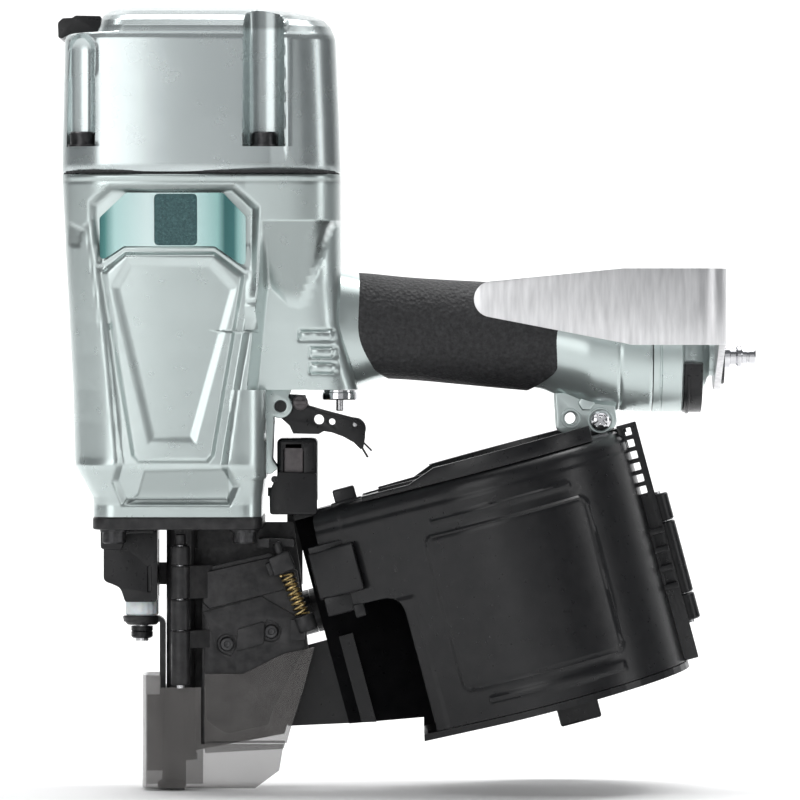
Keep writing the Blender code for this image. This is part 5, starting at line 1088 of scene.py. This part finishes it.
lip = slab(
    "shield_lip", "XZ", rounded([(10.6, 16.4), (46.0, 18.4), (47.0, 22.0), (10.6, 22.0)], 0.8, 3),
    (-12.1, -10.4),
)
place(bevelled(lip, 0.3, 2), SMOKE, "door")
flange = slab(
    "flange_skin", "XY", rounded([(-38.6, -37.9), (36.9, -37.9), (36.9, 37.9), (-38.6, 37.9)], 10, 8),
    (117.3, 122.9),
)
flange = subtract(
    flange, rod("flange_bore", (0, 0, 110), (0, 0, 130), 17),
    box("front_cut", (-50, -8), (-11, 11), (110, 130)),
)
place(bevelled(flange, 0.9, 3), STEEL_BLACK, "tool")
KNUCKLES = (47.6, 71.5, "door"), (72.0, 85.3, "tool"), (86.0, 100.5, "door"), (101.1, 109.4, "tool")
for number, (low, high, owner) in enumerate(KNUCKLES, 1):
    barrel = [
        (3.0, 0), (3.9, 0), (4.25, 0.35), (4.25, high - low - 0.35), (3.9, high - low), (3.0, high - low),
    ]
    place(turned(f"door_barrel_{number}", (0, HINGE_Y, low), (0, 0, 1), barrel, 48), STEEL_BLACK, owner)
pin_cap = [(0, 0), (1.8, 0), (2.4, 0.5), (2.4, 4.6), (1.9, 5.2), (0, 5.2)]
place(turned("hinge_pin_top", (0, HINGE_Y, 109.8), (0, 0, 1), pin_cap, 32), STEEL_BLACK, "tool")

DOOR_EDGE = -9.9
UPPER_PANEL = rounded(
    [(5.4, 98.6), (38.6, 106.2), (39.4, 99.0), (43.6, 91.2), (8.4, 82.2), (5.4, 85.2)], [3, 1, 1, 1, 1, 1],
    5,
)
upper = slab(
    "door_upper_panel", "XZ", [(x + 4.2, z - 1.2) for x, z in UPPER_PANEL],
    (DOOR_EDGE - 1.7, DOOR_EDGE + 0.2),
)
place(bevelled(upper, 0.6, 3), STEEL_BLACK, "door")
lower = [
    (9.8, 79.6), (36.2, 86.6), (51.6, 77.8), (56.0, 64.4), (52.4, 58.0), (40.4, 34.0), (39.4, 29.2),
    (20.0, 25.0), (11.4, 31.0),
]
sheet = slab(
    "door_lower_panel", "XZ", rounded(lower, [1.2, 1.2, 2, 3, 4, 3, 2, 7, 5], 6),
    (DOOR_EDGE - 0.9, DOOR_EDGE + 0.2),
)
pockets = []
for number, (x, z, tilt_by) in enumerate(((*DOOR_SCREWS[0], -18), (*DOOR_SCREWS[1], 162)), 1):
    pocket = slab(
        f"pocket_{number}", "XZ", arc((0, 0), 4.6, 90, 270, 12) + [(3.4, -4.6), (5.2, 4.6)], (
            DOOR_EDGE - 3, DOOR_EDGE - 0.25,
        )
    )
    pocket.data.transform(
        Matrix.Translation(Vector((x, 0, z)) * MM) @ Matrix.Rotation(math.radians(-tilt_by), 4, "Y")
    )
    pockets.append(pocket)
sheet = subtract(sheet, *pockets)
place(bevelled(sheet, 0.35, 2), STEEL_BLACK, "door")
STRAP = rounded([(24.6, 62.0), (37.0, 65.4), (37.6, 75.6), (25.4, 72.0)], 1.0, 3)
strap = slab("door_strap", "XZ", STRAP, (DOOR_EDGE - 2.1, DOOR_EDGE))
place(bevelled(strap, 0.5, 3), STEEL_BLACK, "door")
for number, (x, z) in enumerate(DOOR_SCREWS, 1):
    head = turned(
        f"door_screw_skin_{number}", (x, DOOR_EDGE - 0.3, z), (0, -1, 0),
        [(0, 1.2), (1.3, 1.4), (1.5, 2.2), (2.6, 2.1), (3.3, 1.4), (3.4, 0), (0, 0)], 40,
    )
    place(head, BOLT_STEEL, "door", f"door_screw_{number}", slot="steel")
    washer = turned(
        f"door_washer_{number}", (x, DOOR_EDGE - 0.05, z), (0, -1, 0),
        [(3.0, 0), (4.1, 0), (4.1, 0.45), (3.0, 0.6)], 40,
    )
    place(washer, STEEL_BLACK, "door")

COIL_TURNS, COIL_R, COIL_WIRE_R, COIL_LOW, COIL_HIGH = 8.5, 2.9, 0.52, 5.4, 25.2
TOP, FOOT = np.array([45.6, -15.6, 102.0]), np.array([56.5, -15.6, 73.5])
ALONG = (TOP - FOOT) / np.linalg.norm(TOP - FOOT)


def frame_along(made, origin):
    """Stands a piece drawn about the Z axis on the latch's axis."""
    lean = math.atan2(ALONG[0], ALONG[2])
    made.data.transform(Matrix.Translation(Vector(origin) * MM) @ Matrix.Rotation(lean, 4, "Y"))
    return made


block = box("latch_block_skin", (-5.6, 4.6), (-4.2, 4.2), (-4.6, 4.4), 1.1)
block = joined("latch_block_skin", [
    block,
    turned(
        "latch_nose", (0.5, 0, 4.0), (0, 0, 1), [(0, 5.6), (1.7, 5.4), (2.0, 4.6), (2.0, 0), (0, 0)], 32,
    ),
    box("latch_ear", (-7.6, -5.0), (-3.4, 3.4), (-3.6, 2.4), 0.6),
])
place(frame_along(block, TOP), STEEL_BLACK, "door_latch", "door_latch")
coil = []
for t in np.linspace(0, 1, int(COIL_TURNS * 22)):
    turn = 2 * math.pi * COIL_TURNS * t
    coil.append((COIL_R * math.cos(turn), COIL_R * math.sin(turn), COIL_LOW + (COIL_HIGH - COIL_LOW) * t))
place(frame_along(pipe("latch_spring_skin", coil, COIL_WIRE_R, 10), FOOT), GOLD, "door", "latch_spring")
socket = turned(
    "latch_socket", (0, 0, -2.0), (0, 0, 1),
    [(1.9, 0), (4.2, 0), (4.7, 0.8), (4.7, 6.2), (4.2, 7.0), (1.9, 7.0)], 40,
)
place(frame_along(socket, FOOT), STEEL_BLACK, "door")

guard = box("guard_skin", (43.0, 61.0), (-11.0, 19.0), (128.0, 157.5), 2.0)
guard = subtract(
    guard, box("slot", (53.4, 58.6), (-7.0, 9.6), (120, 170)),
    box("recess", (45.6, 55.2), (-14, -10.2), (138.6, 153.2), 1.4),
)
place(bevelled(guard, 0.4, 2, 50), PLASTIC, "tool", "lever_guard")
place(box("guard_slide", (46.2, 54.6), (-11.0, -9.6), (139.2, 155.6), 0.65), GREY, "tool")
base = slab(
    "guard_foot", "XZ",
    rounded([(39.8, 123.4), (61.0, 123.4), (61.0, 142.0), (43.8, 142.6), (39.6, 133.8)], 1.6, 4),
    (-13.0, -10.6),
)
place(bevelled(base, 0.5), PLASTIC_SATIN, "tool")
place(cross_screw("guard_screw_head", 42.0, -12.6, 139.2, 1.6, 0.9, 0.5), BOLT_STEEL, "tool")

CAGE = [
    (-34.7, 117.0), (-34.7, 93.6), (-30.8, 92.2), (-27.2, 90.6), (-25.0, 84.2), (-10.6, 84.2),
    (-10.6, 117.0),
]
CAGE_BAND = [(-36.0, 117.2), (-36.0, 108.0), (-26.6, 107.4), (-24.4, 114.6), (-12.0, 115.0), (-12.0, 117.2)]
cage = slab("cage_skin", "XZ", rounded(CAGE, [1, 4, 4, 5, 1.5, 2, 1], 6), (-12.0, 12.0))
cage = subtract(
    cage, rod("well", (DIAL_X, 0, 70), (DIAL_X, 0, 112), 8.0),
    box("slot", (-15.2, -13.2), (-14, -10.8), (88.5, 100.5), 0.5),
)
place(bevelled(cage, 0.9, 3, 40), PLASTIC, "tool", "depth_cage")
band = slab("cage_band", "XZ", rounded(CAGE_BAND, 1.4, 4), (-13.2, 13.2))
place(bevelled(band, 0.6), PLASTIC_SATIN, "tool")
dial = turned(
    "dial_skin", (DIAL_X, 0, 77.9), (0, 0, 1),
    [(3.2, 0), (6.9, 0), (7.5, 0.6), (7.5, 8.6), (7.1, 9.2), (6.3, 9.4), (6.3, 10.1), (3.2, 10.1)], 72,
)
for vertex in dial.data.vertices:
    dx, dy = vertex.co.x / MM - DIAL_X, vertex.co.y / MM
    if math.hypot(dx, dy) > 7.2:
        grip_by = 1 - 0.035 * (math.cos(18 * math.atan2(dy, dx)) > 0.6)
        vertex.co.x, vertex.co.y = (dx * grip_by + DIAL_X) * MM, dy * grip_by * MM
place(dial, NYLON, "depth_dial", "depth_dial")
knob = turned(
    "knob_skin", (DIAL_X, 0, 67.4), (0, 0, 1),
    [(3.2, 0.2), (4.2, 0.2), (4.9, 0.9), (4.9, 3.0), (4.5, 3.3), (4.9, 3.6), (4.9, 5.6), (3.2, 5.6)], 60,
)
place(knob, PLASTIC, "contact_foot", "depth_knob")
flange = turned(
    "eye_flange", (DIAL_X, 0, 73.6), (0, 0, 1),
    [(3.3, 0), (6.6, 0), (8.3, 2.0), (8.6, 3.0), (8.6, 3.7), (3.3, 3.7)], 64,
)
place(flange, STEEL_BLACK, "contact_foot")

# ---------------------------------------------------------------- trigger and valve

trigger_line = arc((PIN_X, PIN_Z), 4.6, 215, 92, 8) + [
    (49.0, 177.2), (55.4, 176.8), (57.0, 172.2), (67.0, 169.2), (75.6, 167.0),
]
trigger_line += arc((78.0, 161.8), 4.8, 82, -20, 8) + [
    (82.4, 157.6), (81.6, 153.0), (80.4, 152.6), (77.4, 155.6), (72.6, 158.3), (67.7, 160.1),
]
trigger_line += [(64.0, 160.7), (61.6, 159.4), (50.2, 159.6), (48.6, 163.2), (45.0, 166.4)]
lever = slab("trigger_skin", "XZ", trigger_line, (-9.6, 9.6))
windows = [
    rod(f"w{n}", (x, -12, z), (x, 12, z), r, 28)
    for n, (x, z, r) in enumerate(((61.7, 165.9, 2.3), (67.6, 164.9, 1.5)))
]
inner = [(50.5, 182), (50.5, 161.4), (66.6, 161.8), (73.6, 159.4), (79.0, 157.4), (80.6, 161.6), (79.8, 182)]
lever = subtract(
    lever, *windows, slab("inner", "XZ", inner, (-7.6, 7.6)),
    rod("bore", (PIN_X, -12, PIN_Z), (PIN_X, 12, PIN_Z), 2.2, 24),
)
place(bevelled(lever, 0.45, 2), PLASTIC, "trigger", "trigger")
rib = slab(
    "trigger_rib", "XZ",
    [(60.0, 171.4), (76.2, 167.2), (80.6, 163.6), (79.6, 163.0), (75.6, 166.2), (60.0, 170.2)],
    (-10.0, -9.4),
)
place(bevelled(rib, 0.2, 2), PLASTIC_SATIN, "trigger")
pin_dot = turned(
    "trigger_rivet", (77.9, -9.4, 163.7), (0, -1, 0), [(0, 0.5), (0.9, 0.45), (1.2, 0), (0, 0)], 24,
)
place(pin_dot, STEEL, "trigger")
wires = [
    pipe("wire_a", [(79.4, -1.2, 158.4), (81.8, -1.2, 155.4), (85.4, -1.2, 151.8)], 0.42),
    pipe("wire_b", [(79.0, 1.2, 158.0), (81.0, 1.2, 153.2), (83.6, 1.2, 148.8)], 0.5),
]
place(joined("trigger_wires", wires), STEEL_BLACK, "trigger", "trigger_spring", slot="steel")
knob = turned(
    "selector_skin", (53.4, -10.0, 173.6), (0, -1, 0),
    [(0, 3.4), (1.0, 3.6), (2.6, 3.5), (3.3, 2.9), (3.5, 0.6), (3.1, 0), (0, 0)], 48,
)
place(
    add(knob, box("grip", (50.6, 56.2), (-14.6, -13.0), (172.8, 174.4), 0.3)), GREY, "selector",
    "selector_knob",
)
stem = [(2.2, 0), (7.6, 0), (8.0, 0.5), (8.0, 3.0), (7.5, 3.4), (7.5, 4.4), (2.2, 4.4)]
place(turned("bushing_skin", (71, 0, 174.7), (0, 0, 1), stem, 64), CHROME, "tool", "valve_bushing")
plunger = [(0, 0), (1.3, 0), (1.7, 0.4), (1.7, 6.2), (1.3, 6.4), (1.3, 8.2), (0, 8.2)]
place(
    turned("plunger_skin", (71, 0, 169.7), (0, 0, 1), plunger, 40), STEEL, "plunger", "valve_plunger",
    slot="chrome",
)

# ---------------------------------------------------------------- exhaust deflector

hooked = rounded(
    [
        (-54.4, 336.4), (-52.6, 336.2), (-50.6, 337.4), (-35.4, 338.2), (-35.4, 346.2), (-46.6, 346.4),
        (-48.2, 345.4), (-52.4, 345.2), (-54.6, 343.2),
    ],
    [1.2, 0.8, 2.2, 0.6, 0.8, 1.0, 1.0, 1.5, 2.0], 5,
)
deflector = slab("deflector_skin", "XZ", hooked, (-20.0, 20.0))
place(bevelled(deflector, 1.3, 4, 40), PLASTIC, "tool", "exhaust_deflector")

# ---------------------------------------------------------------- better looks on the CAD that stays

LOOKS = {
    "nose": STEEL_BLACK, "nail_guide_door": STEEL_BLACK, "contact_arm": STEEL_BLACK,
    "contact_foot": STEEL_BLACK,
    "nose_bolt_1": BOLT_STEEL, "nose_bolt_2": BOLT_STEEL, "nose_bolt_3": BOLT_STEEL,
    "nose_bolt_4": BOLT_STEEL,
    "magazine_base": PLASTIC_SATIN, "feeder_cylinder": PLASTIC, "feeder_cap": STEEL_BLACK,
    "feed_piston": STEEL, "feed_spring": STEEL,
    "front_shield": SMOKE, "side_shield": SMOKE, "hook_clip": STEEL_BLACK, "trigger_pin": STEEL_BLACK,
    "trigger_arm": GOLD,
    "door_hinge_pin": STEEL, "magazine_hinge_pin": STEEL, "nail_tray": GREY, "cap_gasket": GRIP,
    "piston": ALUMINIUM,
    "piston_ring": GRIP, "piston_bumper": GRIP, "driver_blade": STEEL, "cylinder_liner": ALUMINIUM,
    "head_valve": PLASTIC,
    "head_valve_spring": STEEL, "depth_bolt": STEEL, "guard_screw": BOLT_STEEL,
}
for node, look in LOOKS.items():
    for place_of in NODES[node].material_slots:
        place_of.material = look

# ---------------------------------------------------------------- light, backdrop and camera


PAPER = surface(
    "backdrop_paper", (0.93, 0.93, 0.93), (0.96, 0.96, 0.96), (0.8, 0.9), 0.0, 2.0,
    [("noise", 40, 0.1, 0.05)],
)
FLOOR_Z, FLOOR_FRONT, FLOOR_BACK, FLOOR_BEND = -0.4, -2600.0, 900.0, 600
WALL_Z, WALL_SIDES = 3200.0, (-3200.0, 3400.0)


def backdrop():
    """A pale floor that curves up into a wall."""
    curve = [(FLOOR_FRONT, FLOOR_Z), (FLOOR_BACK, FLOOR_Z)]
    for a in np.linspace(0.1, math.pi / 2, 16):
        curve.append((FLOOR_BACK + FLOOR_BEND * math.sin(a), FLOOR_Z + FLOOR_BEND * (1 - math.cos(a))))
    curve.append((FLOOR_BACK + FLOOR_BEND, WALL_Z))
    points = [(x, y, z) for y, z in curve for x in WALL_SIDES]
    faces = []
    for i in range(len(curve) - 1):
        faces.append([2 * i, 2 * i + 1, 2 * i + 3, 2 * i + 2])
    made = from_arrays("backdrop", points, faces, 60)
    made.data.materials.append(PAPER)


backdrop()


def softbox(name, place_at, aim, size, power):
    """A large area light aimed at a point, in millimetres."""
    lamp = bpy.data.lights.new(name, "AREA")
    lamp.shape, lamp.energy = "RECTANGLE", power
    lamp.size, lamp.size_y = size[0] * MM, size[1] * MM
    made = bpy.data.objects.new(name, lamp)
    made.location = Vector(place_at) * MM
    made.rotation_euler = (Vector(aim) - Vector(place_at)).to_track_quat("-Z", "Y").to_euler()
    bpy.context.scene.collection.objects.link(made)


MIDDLE = (98, 0, 175)
softbox("key_left", (-900, -1900, 500), MIDDLE, (1300, 1700), 15)
softbox("fill_front", (400, -2700, 500), MIDDLE, (1500, 1500), 3.0)
softbox("fill_right", (1500, -700, 250), MIDDLE, (350, 1300), 4)
softbox("top_strip", (200, -500, 1500), MIDDLE, (1400, 400), 3)
softbox("wall_wash", (100, 300, 2400), (100, 1400, 300), (2600, 800), 70)

world = bpy.data.worlds.new("studio")
bpy.context.scene.world = world
world.use_nodes = True
sky = world.node_tree.nodes["Background"]
sky.inputs["Color"].default_value = (0.93, 0.96, 1.0, 1)
sky.inputs["Strength"].default_value = 0.16

CAMERA_AT, CAMERA_AIM = Vector((98.1, -2500, 198.0)), Vector((98.1, 0, 174.6))
lens = bpy.data.cameras.new("camera")
lens.lens, lens.sensor_width = 250, 36
camera = bpy.data.objects.new("camera", lens)
camera.location = CAMERA_AT * MM
camera.rotation_euler = (CAMERA_AIM - CAMERA_AT).to_track_quat("-Z", "Y").to_euler()
bpy.context.scene.collection.objects.link(camera)
bpy.context.scene.camera = camera
bpy.context.scene.view_settings.view_transform = "Standard"
